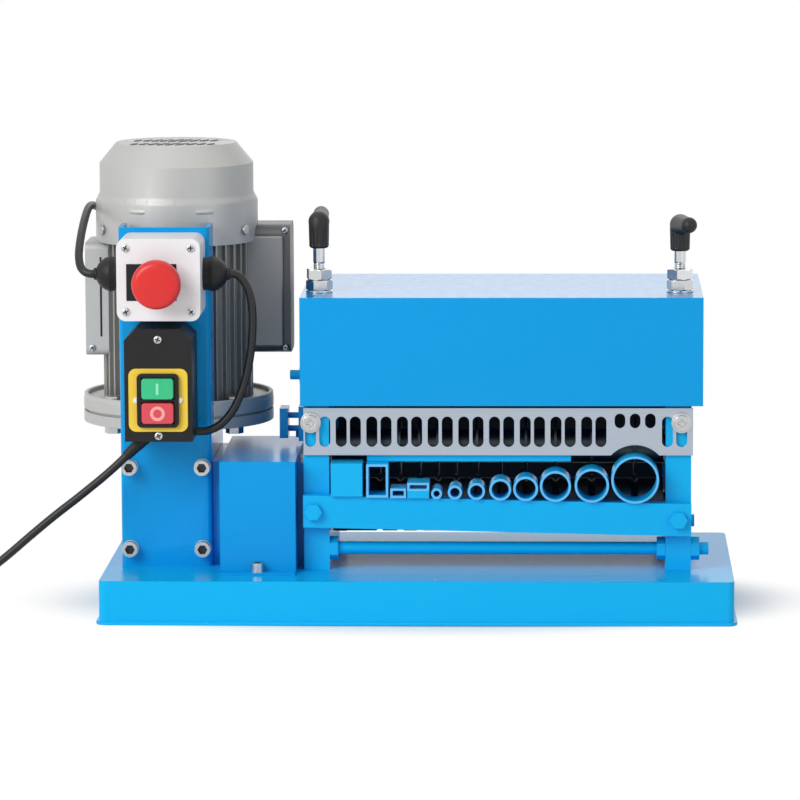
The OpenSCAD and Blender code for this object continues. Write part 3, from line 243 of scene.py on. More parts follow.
# PVC cord sheath, extruded: faint waviness of about 3 mm, soft broad shine
sheath = {"wave": 3, "roughLow": 0.36, "roughHigh": 0.5, "relief": 0.12, "deep": 0.3}
pvcSheath, sheathTree, sheathShader = newMaterial(
    "extruded PVC sheath", "#0f0f10", Roughness=0.4, Specular_IOR_Level=0.42)
sheathPlace = addNode(sheathTree, "ShaderNodeTexCoord")
sheathWave = addNode(sheathTree, "ShaderNodeTexNoise", {"Scale": 1 / (sheath["wave"] * mm), "Detail": 2.0},
                     {"Vector": sheathPlace.outputs["Object"]})
sheathRough = addNode(sheathTree, "ShaderNodeMapRange", {"To Min": sheath["roughLow"], "To Max": sheath["roughHigh"]},
                      {"Value": sheathWave.outputs["Fac"]})
sheathTree.links.new(sheathRough.outputs[0], sheathShader.inputs["Roughness"])
sheathBump = addNode(sheathTree, "ShaderNodeBump", {"Strength": sheath["relief"], "Distance": sheath["deep"] * mm},
                     {"Height": sheathWave.outputs["Fac"]})
sheathTree.links.new(sheathBump.outputs[0], sheathShader.inputs["Normal"])

# routes in machine millimetres; the mains cord goes on into a flat coil on the bench
cords = {
    "thick": 6.8, "coilTurns": 6.25, "coilInner": 28.0, "coilStep": 7.5, "coilRings": 48,
    "tail": 34.0, "tailSteps": 4, "low": 3.6}
motorLeadRoute = [
    (-261.7, 55.5, 281), (-264.8, 55.5, 281), (-269.6, 57.2, 282.6), (-273.4, 62.2, 286.8),
    (-275.4, 71, 293.6), (-276, 82, 300.2), (-276.2, 96, 307), (-276.3, 112, 313),
    (-276.4, 130, 318.3), (-276.5, 148, 322.3), (-276.6, 166, 324.6), (-276.4, 182, 325),
    (-275, 196, 323.8), (-271.8, 208.5, 320.6), (-267.8, 218.5, 314.8), (-264.4, 226, 306),
    (-262.6, 230.6, 295), (-262, 232.4, 283), (-262.8, 231.2, 271.5), (-265.2, 226.4, 262.2),
    (-267.8, 219.6, 257), (-268.6, 213.4, 256), (-268.6, 209.1, 256)]
switchLeadRoute = [
    (-150.3, 55.5, 281), (-147, 55.5, 281), (-142, 55.2, 278.4), (-137.8, 54.5, 272.8),
    (-134.7, 54, 266), (-132.9, 53.5, 258), (-132.1, 53, 249.5), (-132, 52.6, 240),
    (-132.4, 52.3, 230), (-133.4, 52, 219.5), (-135.2, 52, 208), (-138, 52, 195.5),
    (-142, 52, 183), (-147.3, 52, 171.5), (-153.8, 52, 162.3), (-161.5, 52, 155.6),
    (-170, 52, 152.2), (-179.3, 52, 151.6)]
mainsRoute = [
    (-236, 45, 132.2), (-245, 45, 123.6), (-255, 45, 114.8), (-266, 45, 105.8), (-278, 45, 96.2),
    (-291, 45, 86.2), (-304, 45, 75.7), (-318, 45, 63.9), (-333, 45, 51), (-346, 45, 40.6),
    (-359, 45, 30.8), (-372, 45, 21.8), (-385, 45, 14), (-397, 45, 8.4), (-408, 45, 4.8),
    (-418, 45, 3.6), (-425, 45, 3.6)]
coilOuter = cords["coilInner"] + cords["coilStep"] * cords["coilTurns"] / 2
coilHigh = cords["low"] + cords["coilStep"]
coilCentre = (mainsRoute[-1][0] - cords["thick"], mainsRoute[-1][1] + coilOuter)


def coilPoint(turns):   # spirals in on the bench, climbs in half a turn, spirals out on top
    r = coilOuter - cords["coilStep"] * min(turns, cords["coilTurns"] - turns)
    a = math.radians(-90 - 360 * turns)
    s = min(max(turns - cords["coilTurns"] / 2 + 0.25, 0), 0.5) * 2
    rise = (coilHigh - cords["low"]) * s * s * (3 - 2 * s)
    return (coilCentre[0] + r * math.cos(a), coilCentre[1] + r * math.sin(a), cords["low"] + rise)


ringCount = round(cords["coilTurns"] * cords["coilRings"])
coilRoute = [coilPoint(i * cords["coilTurns"] / ringCount) for i in range(ringCount + 1)]
coilEnd = coilRoute[-1]
tailRoute = [(coilEnd[0], coilEnd[1] + cords["tail"] * (k + 1) / cords["tailSteps"], coilEnd[2])
             for k in range(cords["tailSteps"])]
wholeMains = smoothRoute(mainsRoute) + coilRoute + tailRoute
mainsCord = makeCord("mains_cord", wholeMains, cords["thick"], pvcSheath, ("power_cord", "cord_coil"))
motorLead = makeCord("motor_lead_sheath", smoothRoute(motorLeadRoute), cords["thick"], pvcSheath, ("motor_lead",))
switchLead = makeCord("switch_lead_sheath", smoothRoute(switchLeadRoute), cords["thick"], pvcSheath, ("switch_lead",))


def noiseOf(tree, place, size, detail):   # noise with grains of about this many millimetres
    made = addNode(tree, "ShaderNodeTexNoise", {"Scale": 1 / (size * mm), "Detail": detail}, {"Vector": place})
    return made.outputs["Fac"]


def rangeOf(tree, value, limits):   # a value brought into other limits
    return addNode(tree, "ShaderNodeMapRange", limits, {"Value": value}).outputs[0]


def mixTones(tree, colours, links):   # two colours by a factor
    return addNode(tree, "ShaderNodeMix", {"data_type": "RGBA", **colours}, links).outputs["Result"]


def varyRoughness(tree, shader, value, low, high):
    tree.links.new(rangeOf(tree, value, {"To Min": low, "To Max": high}), shader.inputs["Roughness"])


def addRelief(tree, shader, height, strength, deep):   # bump of a depth in millimetres
    bump = addNode(tree, "ShaderNodeBump", {"Strength": strength, "Distance": deep * mm}, {"Height": height})
    tree.links.new(bump.outputs[0], shader.inputs["Normal"])


# grain sizes and bump depths in mm, shares of a second tone
paint = {"cloud": 70, "toneShare": 0.22, "thinFrom": 0.52, "thinTo": 0.62, "thinShare": 0.5, "deep": 0.1}
mould = {"flow": 24, "deep": 0.1}
bareDeep = 0.08


def paintedMetal(name, body, edge, rough, peel, grain, metallic=0.0, shine=0.5, relief=0.07):
    # sprayed paint: two close tones, orange peel, paler where it thins along edges; peel and grain in mm
    made, tree, shader = newMaterial(name, body, Metallic=metallic, Specular_IOR_Level=shine)
    place = addNode(tree, "ShaderNodeTexCoord").outputs["Object"]
    cloud = rangeOf(tree, noiseOf(tree, place, paint["cloud"], 3.0), {"To Min": 0.0, "To Max": paint["toneShare"]})
    tones = mixTones(tree, {"A": linear(body), "B": linear(edge)}, {"Factor": cloud})
    edges = addNode(tree, "ShaderNodeNewGeometry").outputs["Pointiness"]
    thinSteps = {"From Min": paint["thinFrom"], "From Max": paint["thinTo"], "To Max": paint["thinShare"]}
    thin = rangeOf(tree, edges, thinSteps)
    tree.links.new(mixTones(tree, {"B": linear(edge)}, {"Factor": thin, "A": tones}), shader.inputs["Base Color"])
    varyRoughness(tree, shader, noiseOf(tree, place, grain, 4.0), rough - 0.06, rough + 0.1)
    addRelief(tree, shader, noiseOf(tree, place, peel, 1.0), relief, paint["deep"])
    return made


def mouldedPlastic(name, body, deep, rough, grain, relief=0.12, shine=0.42):
    # injection moulding: fine spark-eroded grain, drawn at about 1 mm because the real 0.05 mm would not show
    made, tree, shader = newMaterial(name, body, Specular_IOR_Level=shine)
    place = addNode(tree, "ShaderNodeTexCoord").outputs["Object"]
    flow = noiseOf(tree, place, mould["flow"], 3.0)
    tones = mixTones(tree, {"A": linear(body), "B": linear(deep)}, {"Factor": flow})
    tree.links.new(tones, shader.inputs["Base Color"])
    spark = noiseOf(tree, place, grain, 3.0)
    varyRoughness(tree, shader, spark, rough - 0.05, rough + 0.08)
    addRelief(tree, shader, spark, relief, mould["deep"])
    return made


def workedMetal(name, body, deep, rough, streak, relief=0.1):
    # bare metal: streaks along x, y or z come from a stretched noise; streak is its size in mm along each axis
    made, tree, shader = newMaterial(name, body, Metallic=1.0)
    place = addNode(tree, "ShaderNodeTexCoord").outputs["Object"]
    stretch = addNode(tree, "ShaderNodeMapping", {"Scale": tuple(1 / (s * mm) for s in streak)}, {"Vector": place})
    lines = addNode(tree, "ShaderNodeTexNoise", {"Scale": 1.0, "Detail": 4.0}, {"Vector": stretch.outputs[0]})
    lines = lines.outputs["Fac"]
    tones = mixTones(tree, {"A": linear(body), "B": linear(deep)}, {"Factor": lines})
    tree.links.new(tones, shader.inputs["Base Color"])
    varyRoughness(tree, shader, lines, rough - 0.08, rough + 0.12)
    addRelief(tree, shader, lines, relief, bareDeep)
    return made


# gloss alkyd enamel on sheet steel: saturated cyan blue, mild peel, pale glare at a low angle
blueEnamel = paintedMetal("sprayed blue alkyd enamel", "#0098dd", "#14a6e9", 0.19, 1.8, 6, shine=0.15)
# a brighter copy of the same blue for the base, side plates, crossbar and the parts on them, as painted light where
# more light falls
litBlueEnamel = paintedMetal("blue alkyd enamel brightened as painted light", "#02b3ef", "#22bbf3", 0.22, 1.8, 6, shine=0.15)
# the same paint where it flowed level on a flat top, given a darker tone there as painted shade under the glare, and
# where it ran thin over sawn tube ends
levelShadedEnamel = paintedMetal(
    "level-flowed blue enamel darkened as painted shade", "#0786c8", "#1494d6", 0.18, 14.0, 9, shine=0.36, relief=0.02)
sawnEnamel = paintedMetal("thin enamel on sawn ends", "#52b9f4", "#8ed2f8", 0.4, 1.2, 4, shine=0.3)
# aluminium-flake lacquer on the motor castings: soft grey with a slight metal glint
silverLacquer = paintedMetal(
    "sprayed aluminium lacquer", "#b9b9b6", "#cbcbc8", 0.44, 1.2, 4, metallic=0.25, shine=0.4)
# the finned body gets a darker copy of the lacquer as painted shade; it is also smoother and more metallic than its
# cover
shadedFinLacquer = paintedMetal("aluminium lacquer darkened as painted shade", "#94948f", "#b2b2ad", 0.34, 1.2, 4, metallic=0.5)
# hammer lacquer on the terminal box: the case gets a darker tone as painted shade, the lid a paler one as painted light
shadedHammerLacquer = paintedMetal("hammer lacquer darkened as painted shade", "#4a4a4b", "#6c6d6e", 0.4, 2.4, 5, metallic=0.3)
litHammerLacquer = paintedMetal("hammer lacquer brightened as painted light", "#868787", "#9c9d9d", 0.38, 2.4, 5, metallic=0.35)
# white, red, yellow and green mouldings: satin, nearly even in tone
whiteAbs = mouldedPlastic("moulded white ABS", "#efeef0", "#e6e5e8", 0.36, 1.0)
redAbs = mouldedPlastic("moulded red ABS", "#dd2b28", "#d02422", 0.3, 1.0, 0.08)
darkRedAbs = mouldedPlastic("moulded dark red ABS", "#8e1d1c", "#7c1716", 0.38, 1.0)
yellowPvc = mouldedPlastic("printed yellow PVC plate", "#f2cf45", "#ecc63a", 0.34, 1.2, 0.06)
greenAbs = mouldedPlastic("moulded green ABS", "#38c285", "#2fb87b", 0.28, 1.0, 0.06)
buttonRed = mouldedPlastic("moulded signal red ABS", "#dc4e58", "#d2444f", 0.28, 1.0, 0.06)
creamNylon = mouldedPlastic("moulded cream film case", "#e4e1d8", "#d8d4ca", 0.4, 1.0)
# blacks: matt rubber and nylon, smoother ABS and foil
blackAbs = mouldedPlastic("moulded black ABS", "#111012", "#17161a", 0.42, 1.0, shine=0.3)
blackNylon = mouldedPlastic("moulded black nylon", "#151516", "#1e1e1f", 0.46, 1.2, 0.2, shine=0.36)
blackRubber = mouldedPlastic("moulded black rubber", "#0e0e0f", "#151516", 0.5, 1.4, 0.2, shine=0.32)
blackLabel = mouldedPlastic("black foil plate", "#101013", "#18181b", 0.32, 1.6, 0.05, shine=0.3)
# pale paint in the marks of the push buttons
paleGreenPrint = mouldedPlastic("pale green filled mark", "#8eeac0", "#84e2b8", 0.34, 1.0, 0.04)
paleRedPrint = mouldedPlastic("pale red filled mark", "#f3a9a6", "#eea09c", 0.34, 1.0, 0.04)
# bright zinc plate, tumbled: grey-white, cloudy shine; chrome is sharper
zincPlate = workedMetal("tumbled zinc plate", "#cfd0cf", "#b3b5b6", 0.3, (2.5, 2.5, 2.5))
chromePlate = workedMetal("polished chrome plate", "#d6d8da", "#c6c8ca", 0.16, (3, 3, 3), 0.04)
# rolled aluminium sheet, brushed along its length: 0.2 mm lines drawn at 0.7 mm so that they show
brushedSheet = workedMetal("brushed aluminium sheet", "#b9c3cf", "#a3adba", 0.34, (40, 4, 0.7))
# steels and bronze of the moving pieces: tool marks round them; the roller, knife shaft and blades inside the head get
# a dark copy as painted shade
groundSteel = workedMetal("ground tool steel", "#b6b8ba", "#9ea0a3", 0.28, (0.8, 12, 12))
shadeDarkSteel = workedMetal("tool steel darkened as painted shade", "#4b5358", "#3a4145", 0.4, (0.8, 12, 12))
# black steel for the bearing blocks; also the painted shade in screw recesses, bolt sockets and on the rear plate's
# front
blackSteelAndShade = workedMetal("oiled black steel and painted shade", "#4a4a4c", "#38383a", 0.42, (2, 2, 2))
castBronze = workedMetal("turned cast bronze", "#b08a4a", "#98733a", 0.34, (0.8, 6, 6))
brightPin = workedMetal("nickel-plated brass pin", "#d5cfbf", "#c2baa6", 0.24, (2, 8, 2))
stackedSheet = workedMetal("stacked lamination steel", "#8b7a66", "#74654f", 0.45, (8, 8, 0.8))
print("materials made")


weld = {"near": 0.002, "flatAngle": 0.6}   # mm and degrees within which CAD triangles are one face


def bodyOf(node):
    return frame["nodes"][node]["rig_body"]


def addBevel(piece, width, segments=2, angle=30):   # rounded edges that catch the light, flat faces kept flat
    bevel = piece.modifiers.new("edges", "BEVEL")
    bevel.width = width * mm
    bevel.segments = segments
    bevel.limit_method = "ANGLE"
    bevel.angle_limit = math.radians(angle)
    bevel.miter_outer = "MITER_ARC"
    flat = piece.modifiers.new("flats", "WEIGHTED_NORMAL")
    flat.keep_sharp = True


def cadMesh(node):   # a node's solid as a bmesh of whole faces
    bm = bmesh.new()
    bm.from_mesh(frame["nodes"][node].data)
    bmesh.ops.remove_doubles(bm, verts=bm.verts, dist=weld["near"] * mm)
    bmesh.ops.dissolve_limit(bm, angle_limit=math.radians(weld["flatAngle"]), verts=bm.verts, edges=bm.edges)
    return bm


def edgedCopy(node, name, material, width):   # the node's own solid with its edges eased
    mesh = meshFrom(name, cadMesh(node), 180)
    addBevel(makeObject(name, mesh, bodyOf(node), [material], (node,)), width)


# sheet, plate and castings that keep their solids: node, piece, finish, edge radius in mm
edged = [
    ("base_tray", "pressed_base", litBlueEnamel, 1.6),
    ("column_channel", "folded_column", blueEnamel, 1.0),
    ("gearbox_housing", "cast_gearbox", blueEnamel, 1.6),
    ("drive_cover", "folded_drive_cover", blueEnamel, 1.2),
    ("top_cover", "folded_top_cover", blueEnamel, 1.3),
    ("left_side_plate", "milled_left_side", litBlueEnamel, 0.8),
    ("right_side_plate", "milled_right_side", litBlueEnamel, 0.8),
    ("front_crossbar", "milled_crossbar", litBlueEnamel, 0.8),
    ("tie_rods", "painted_tie_rods", litBlueEnamel, 0.6),
    ("head_bolts", "painted_head_bolts", litBlueEnamel, 0.6),
    ("tube_blocks", "painted_tube_blocks", litBlueEnamel, 0.6),
    ("guide_tubes", "sawn_guide_tubes", litBlueEnamel, 0.25),
    ("side_bracket", "painted_side_bracket", blueEnamel, 0.6),
    ("rear_plate", "punched_rear_plate", blueEnamel, 0.5),
    ("motor_flange", "cast_motor_flange", silverLacquer, 1.2),
    ("motor_housing", "cast_motor_body", shadedFinLacquer, 0.5),
    ("terminal_box", "cast_terminal_box", shadedHammerLacquer, 1.5),
    ("capacitor_box", "pressed_capacitor_box", silverLacquer, 1.5),
    ("fan_cover", "pressed_fan_cover", silverLacquer, 0.6),
    ("fan_cover_screws", "fan_cover_pan_screws", groundSteel, 0.7),
    ("frame_bolts", "plated_socket_bolts", zincPlate, 0.5),
    ("estop_box", "moulded_stop_box", whiteAbs, 1.2),
    ("estop_lid", "moulded_stop_lid", whiteAbs, 2.0),
    ("estop_collar", "moulded_stop_collar", darkRedAbs, 0.6),
    ("estop_plunger", "moulded_stop_plunger", darkRedAbs, 0.5),
    ("estop_cap", "moulded_stop_cap", redAbs, 0.8),
    ("estop_domes", "moulded_cable_domes", blackRubber, 0.8),
    ("switch_box", "moulded_switch_box", blackAbs, 1.4),
    ("switch_bezel", "moulded_switch_bezel", blackAbs, 0.9),
    ("start_button", "moulded_start_button", greenAbs, 1.0),
    ("stop_button", "moulded_stop_button", buttonRed, 1.0),
    ("cord_gland", "moulded_strain_relief", blackRubber, 0.6),
    ("power_plug", "moulded_mains_plug", blackRubber, 0.7),
    ("guide_plate", "punched_guide_plate", brushedSheet, 0.3),
    ("guide_bolts", "plated_guide_bolts", zincPlate, 0.4),
]
for node, name, material, width in edged:
    edgedCopy(node, name, material, width)


def refaced(name, material, chosen):   # another finish on the faces that a test picks
    mesh = bpy.data.objects[name].data
    mesh.materials.append(material)
    for face in mesh.polygons:
        if chosen(face):
            face.material_index = 1


facing = 0.9   # a face looks along an axis when its normal has this much of it
refaced("sawn_guide_tubes", sawnEnamel, lambda face: face.normal.y < -facing)
# the rear plate's front faces get black steel as painted shade of the closed head's inside
refaced("punched_rear_plate", blackSteelAndShade, lambda face: face.normal.y < -facing)
# the top cover's upward faces get the darker level enamel, a painted shade under the glare
refaced("folded_top_cover", levelShadedEnamel, lambda face: face.normal.z > facing)

# pieces behind the covers, and the thin yellow plate, keep their CAD solids
inside = {
    groundSteel: ["worm_shaft", "output_shaft", "drive_gear", "roller_gear", "ball_bearings", "motor_rotor"],
    # the roller, knife shaft and blades are darkened as painted shade of the closed head
    shadeDarkSteel: ["feed_roller", "knife_shaft", "knife_blades"],
    castBronze: ["worm_wheel"],
    stackedSheet: ["motor_stator"],
    blackSteelAndShade: ["bearing_blocks"],
    blackNylon: ["motor_fan"],
    creamNylon: ["capacitors"],
    blackAbs: ["estop_contacts", "switch_contacts"],
    yellowPvc: ["switch_plate"],
}
for material, nodes in inside.items():
    for node in nodes:
        mesh = frame["nodes"][node].data
        mesh.materials.clear()
        mesh.materials.append(material)
print("frame pieces finished")


def loft(bm, rings, closed=False):   # skin over rings of equal count; closed joins the last ring to the first
    made = [[bm.verts.new(point) for point in ring] for ring in rings]
    count = len(rings[0])
    pairs = list(zip(made, made[1:])) + ([(made[-1], made[0])] if closed else [])
    for low, high in pairs:
        for k in range(count):
            bm.faces.new((low[k], low[(k + 1) % count], high[(k + 1) % count], high[k]))
    if not closed:
        bm.faces.new(list(reversed(made[0])))
        bm.faces.new(made[-1])


def ring(z, radius, count=48):   # points round z; radius is a number or a function of the angle
    angles = [2 * math.pi * k / count for k in range(count)]
    sizes = [radius(a) if callable(radius) else radius for a in angles]
    return [Vector((r * math.cos(a), r * math.sin(a), z)) for r, a in zip(sizes, angles)]


def moved(rings, matrix):
    return [[matrix @ point for point in points] for points in rings]


def outward(bm):   # all faces of a bmesh turned to look out
    bmesh.ops.recalc_face_normals(bm, faces=bm.faces)
    return bm


def placeAt(x, y, z, turn=None):   # machine place and turn, with local millimetres turned to metres
    return Matrix.Translation(at(x, y, z)) @ (turn or Matrix()) @ Matrix.Scale(mm, 4)


def turned(degrees):   # a turn about the upright axis
    return Matrix.Rotation(math.radians(degrees), 4, "Z")


def combine(first, second, how):   # boolean of two meshes, kept as one mesh
    holders = [bpy.data.objects.new("solid", mesh) for mesh in (first, second)]
    for holder in holders:
        scene.collection.objects.link(holder)
    change = holders[0].modifiers.new("combine", "BOOLEAN")
    change.operation = how
    change.solver = "EXACT"
    change.object = holders[1]
    done = bpy.data.meshes.new_from_object(holders[0].evaluated_get(bpy.context.evaluated_depsgraph_get()))
    for holder in holders:
        bpy.data.objects.remove(holder)
    return done


def softened(mesh, angle):   # smooth shading up to an angle
    mesh.polygons.foreach_set("use_smooth", [True] * len(mesh.polygons))
    mesh.set_sharp_from_angle(angle=math.radians(angle))
    return mesh


towardViewer = Matrix.Rotation(math.radians(90), 4, "X")   # local z comes out of a front face

# nylon clamping levers: fluted hub, round head, tapered arm; a chromed stud below
levers = {
    "hub": 16.8, "taper": 0.7, "head": 17.4, "headIn": 1, "headUp": 21.5, "top": 30.95,
    "arm": 44.0, "tip": 13.0, "rise": 3.0, "armBend": 1.6,
    "foot": ((0, 1.6), (0.5, 0.8)),   # heights and how far the hub's lower edge is rounded in
    "capTall": 4, "capIn": 1.2, "flutes": 10, "fluteDeep": 0.5, "fluteStart": (1.6, 0.2),
    "fluteLow": 2.2, "fluteTall": 15, "fluteSteps": 7, "round": 120, "armRound": 40,
    "turn": {"left_lever": 90, "right_lever": -80}}
headArcs = (1.5, 1.3, 1.05, 0.8, 0.55, 0.3)   # radians where the round ends of the arm have rings
tipArcs = (0.3, 0.6, 0.9, 1.2, 1.45)
studs = {
    "thick": 10.0, "pitch": 1.5, "threadOver": 5, "tipIn": 1, "first": 0.4, "crestIn": 0.05, "rootIn": 0.75,
    "plainIn": 0.1, "plainFrom": (0.6, 0.9), "plainTo": (-0.5, 1.5)}
nutLow, nutHigh = nodeBox("stud_nuts")
nuts = {
    "flat": 19.0, "tall": 9.0, "gap": 0.1, "clear": 0.06, "boreEase": 0.6, "washer": 22.0, "washerThick": 1.5,
    "washerEase": 0.3, "steps": (0, 0.3, 0.6, 0.9, 1.2, 1.7), "coneShare": 0.97, "coneAngle": 62,
    "turns": {"left_lever": (38, 12), "right_lever": (20, 47)}}
studX = {"left_lever": nutLow.x + nuts["washer"] / 2, "right_lever": nutHigh.x - nuts["washer"] / 2}
studY = (nutLow.y + nutHigh.y) / 2


def fluted(size, depth):   # radius by angle with shallow flutes
    return lambda a: size - depth * (0.5 + 0.5 * math.cos(levers["flutes"] * a)) ** 2


def hubRings():
    hubR = levers["hub"] / 2
    bottomR = hubR - levers["taper"] / 2
    count = levers["round"]
    rings = [ring(z, bottomR - inward, count) for z, inward in levers["foot"]]
    rings.append(ring(levers["fluteStart"][0], fluted(bottomR, levers["fluteStart"][1]), count))
    for k in range(levers["fluteSteps"] + 1):
        share = k / levers["fluteSteps"]
        depth = levers["fluteDeep"] * (1 - share ** 4)
        size = bottomR + (hubR - bottomR) * share
        rings.append(ring(levers["fluteLow"] + levers["fluteTall"] * share, fluted(size, depth), count))
    headUp = levers["headUp"]
    return rings + [ring(headUp, hubR, count), ring(headUp + levers["capTall"], hubR - levers["capIn"], count)]


def armRings(span):   # round head at 0, round tip at the span, along z
    headR, tipR, count = levers["head"] / 2, levers["tip"] / 2, levers["armRound"]
    rings = [ring(-headR * math.sin(b), headR * math.cos(b), count) for b in headArcs]
    for k in range(9):
        share = 1 - (1 - k / 8) ** levers["armBend"]
        rings.append(ring(span * k / 8, headR + (tipR - headR) * share, count))
    return rings + [ring(span + tipR * math.sin(b), tipR * math.cos(b), count) for b in tipArcs]


def leverMesh(name, place):
    start = Vector((levers["headIn"], 0, levers["headUp"]))
    end = Vector((levers["arm"] - levers["tip"] / 2, 0, levers["headUp"] + levers["rise"]))
    along = (end - start).normalized().to_track_quat("Z", "Y").to_matrix().to_4x4()
    hub, arm = bmesh.new(), bmesh.new()
    loft(hub, moved(hubRings(), place))
    loft(arm, moved(armRings((end - start).length), place @ Matrix.Translation(start) @ along))
    mesh = combine(meshFrom("hub", outward(hub)), meshFrom("arm", outward(arm)), "UNION")
    mesh.name = name
    return softened(mesh, 40)


def studMesh(node, low, hubLow):   # thread drawn as rings, crest and root, then a plain shank into the hub
    studR, threadTop = studs["thick"] / 2, nutHigh.z + studs["threadOver"]
    rings = [ring(low, studR - studs["tipIn"])]
    for k in range(int((threadTop - low) / studs["pitch"])):
        rings.append(ring(low + studs["first"] + k * studs["pitch"], studR - studs["crestIn"]))
        rings.append(ring(low + studs["first"] + (k + 0.5) * studs["pitch"], studR - studs["rootIn"]))
    plain = [threadTop + up for up in studs["plainFrom"]] + [hubLow + up for up in studs["plainTo"]]
    rings += [ring(z, studR - studs["plainIn"]) for z in plain]
    stud = bmesh.new()
    loft(stud, moved(rings, placeAt(studX[node], studY, 0)))
    return meshFrom("stud", stud, 50)


for node, turn in levers["turn"].items():
    low, high = nodeBox(node)
    hubLow = high.z - levers["top"]
    side = node.split("_")[0]
    name = f"moulded_{side}_lever"
    mesh = leverMesh(name, placeAt(studX[node], studY, hubLow, turned(turn)))
    makeObject(name, mesh, bodyOf(node), [blackNylon], (node,))
    makeObject(f"chromed_{side}_stud", studMesh(node, low.z, hubLow), bodyOf(node), [chromePlate])


def hexRadius(flat):   # outline of a hexagon by angle
    return lambda a: flat / 2 / math.cos((a + math.pi / 6) % (math.pi / 3) - math.pi / 6)


def chamfered(z, tall, flat):   # hexagon cut by the cone of a turned chamfer
    allowed = flat / 2 * nuts["coneShare"] + min(z, tall - z) * math.tan(math.radians(nuts["coneAngle"]))
    return lambda a: min(hexRadius(flat)(a), allowed)


def nutRings(flat, tall, bore):
    heights = list(nuts["steps"]) + [tall - step for step in reversed(nuts["steps"])]
    rings = [ring(z, chamfered(z, tall, flat), 72) for z in heights]
    ease = nuts["boreEase"]
    profile = [(tall, bore + ease), (tall - ease, bore), (ease, bore), (0, bore + ease)]
    return rings + [ring(z, r, 72) for z, r in profile]


nutMesh = bmesh.new()
boreR = studs["thick"] / 2 + nuts["clear"]
washerR, thick, ease = nuts["washer"] / 2, nuts["washerThick"], nuts["washerEase"]
washerProfile = [(0, washerR - ease), (ease, washerR), (thick - ease, washerR), (thick, washerR - ease),
                 (thick, boreR), (0, boreR)]
for node, turns in nuts["turns"].items():
    loft(nutMesh, moved([ring(z, r) for z, r in washerProfile], placeAt(studX[node], studY, nutLow.z)), True)
    for k, turn in enumerate(turns):
        place = placeAt(studX[node], studY, nutLow.z + thick + k * nuts["tall"], turned(turn))
        loft(nutMesh, moved(nutRings(nuts["flat"], nuts["tall"] - nuts["gap"], boreR), place), True)
nutMesh = meshFrom("chromed_stud_nuts", outward(nutMesh), 35)
makeObject("chromed_stud_nuts", nutMesh, "frame", [chromePlate], ("stud_nuts",))
print("levers and nuts made")


screwShape = {"shank": 0.26, "shankIn": 1, "side": 0.35, "flat": 0.55, "arcs": (0.4, 0.8, 1.15, 1.5), "round": 32}


def screwMesh(name, places, screw):   # domed heads with a cross recess, turned to the viewer
    head, tall, deep, count = screw["head"], screw["tall"], screw["deep"], screwShape["round"]
    shank, side, flat = screwShape["shank"], screwShape["side"], screwShape["flat"]
    profile = [(-screwShape["shankIn"], head * shank), (0, head * shank), (0, head / 2), (tall * side, head / 2)]
    for b in screwShape["arcs"]:
        profile.append((tall * (side + (1 - side) * math.sin(b)), head / 2 * (flat + (1 - flat) * math.cos(b))))
    heads, bars = bmesh.new(), {0: bmesh.new(), 90: bmesh.new()}
    barSize = Matrix.Diagonal((screw["slotLong"], screw["slotWide"], deep * 2, 1))
    for x, y, z, twist in places:
        place = placeAt(x, y, z, towardViewer @ turned(twist))
        loft(heads, moved([ring(up, r, count) for up, r in profile], place))
        for quarter, solid in bars.items():
            bar = Matrix.Translation((0, 0, tall)) @ turned(quarter)
            bmesh.ops.create_cube(solid, size=1.0, matrix=place @ bar @ barSize)
    mesh = meshFrom("heads", outward(heads))
    for solid in bars.values():
        mesh = combine(mesh, meshFrom("bars", solid), "DIFFERENCE")
    mesh.name = name
    shadedDepths = {round(at(0, y, 0).y - (tall - deep) * mm, 5) for x, y, z, twist in places}
    for face in mesh.polygons:   # the floor of each recess gets the dark second material as painted shade
        face.material_index = int(abs(face.normal.y) > facing and round(face.center.y, 5) in shadedDepths)
    return softened(mesh, 35)


# case screws: four in the stop lid, two in the switch box
screws = {
    "lidX": 26.5, "lidZ": 26.0, "switchLow": 4.8, "switchHigh": 8.5, "twists": (20, 65, 40, 5, 30, 70),
    "head": 6.8, "tall": 1.5, "slotLong": 4.4, "slotWide": 1.15, "deep": 1.2}
lidLow, lidHigh = nodeBox("estop_lid")
switchLow, switchHigh = nodeBox("switch_box")
lidMid = (lidLow + lidHigh) / 2
switchX = (switchLow.x + switchHigh.x) / 2
screwPlaces = [(lidMid.x + sx * screws["lidX"], lidLow.y, lidMid.z + sz * screws["lidZ"])
               for sx in (-1, 1) for sz in (-1, 1)]
screwPlaces.append((switchX, switchLow.y, switchLow.z + screws["switchLow"]))
screwPlaces.append((switchX, switchLow.y, switchHigh.z - screws["switchHigh"]))
screwPlaces = [(*place, twist) for place, twist in zip(screwPlaces, screws["twists"])]
caseScrews = screwMesh("plated_case_screws", screwPlaces, screws)
makeObject("plated_case_screws", caseScrews, "frame", [zincPlate, blackSteelAndShade], ("case_screws",))

# black foil plate round the stop button's neck, bare
foil = {"left": 26.0, "right": 14.8, "up": 14.6, "down": 15.4, "hole": 14.2, "thick": 0.35, "proud": 0.02, "steps": 96}
collarLow, collarHigh = nodeBox("estop_collar")
neckX, neckZ = (collarLow.x + collarHigh.x) / 2, (collarLow.z + collarHigh.z) / 2


def reachAlong(part, ahead, behind):   # how far a ray goes to the side ahead of it or behind it
    if abs(part) < 1e-6:
        return math.inf
    return ahead / part if part > 0 else behind / -part


def foilEdge(a):   # rectangle by angle, seen from the neck; a corner is left where the sides meet
    across = reachAlong(math.cos(a), foil["right"], foil["left"])
    upward = reachAlong(math.sin(a), foil["up"], foil["down"])
    return min(across, upward)


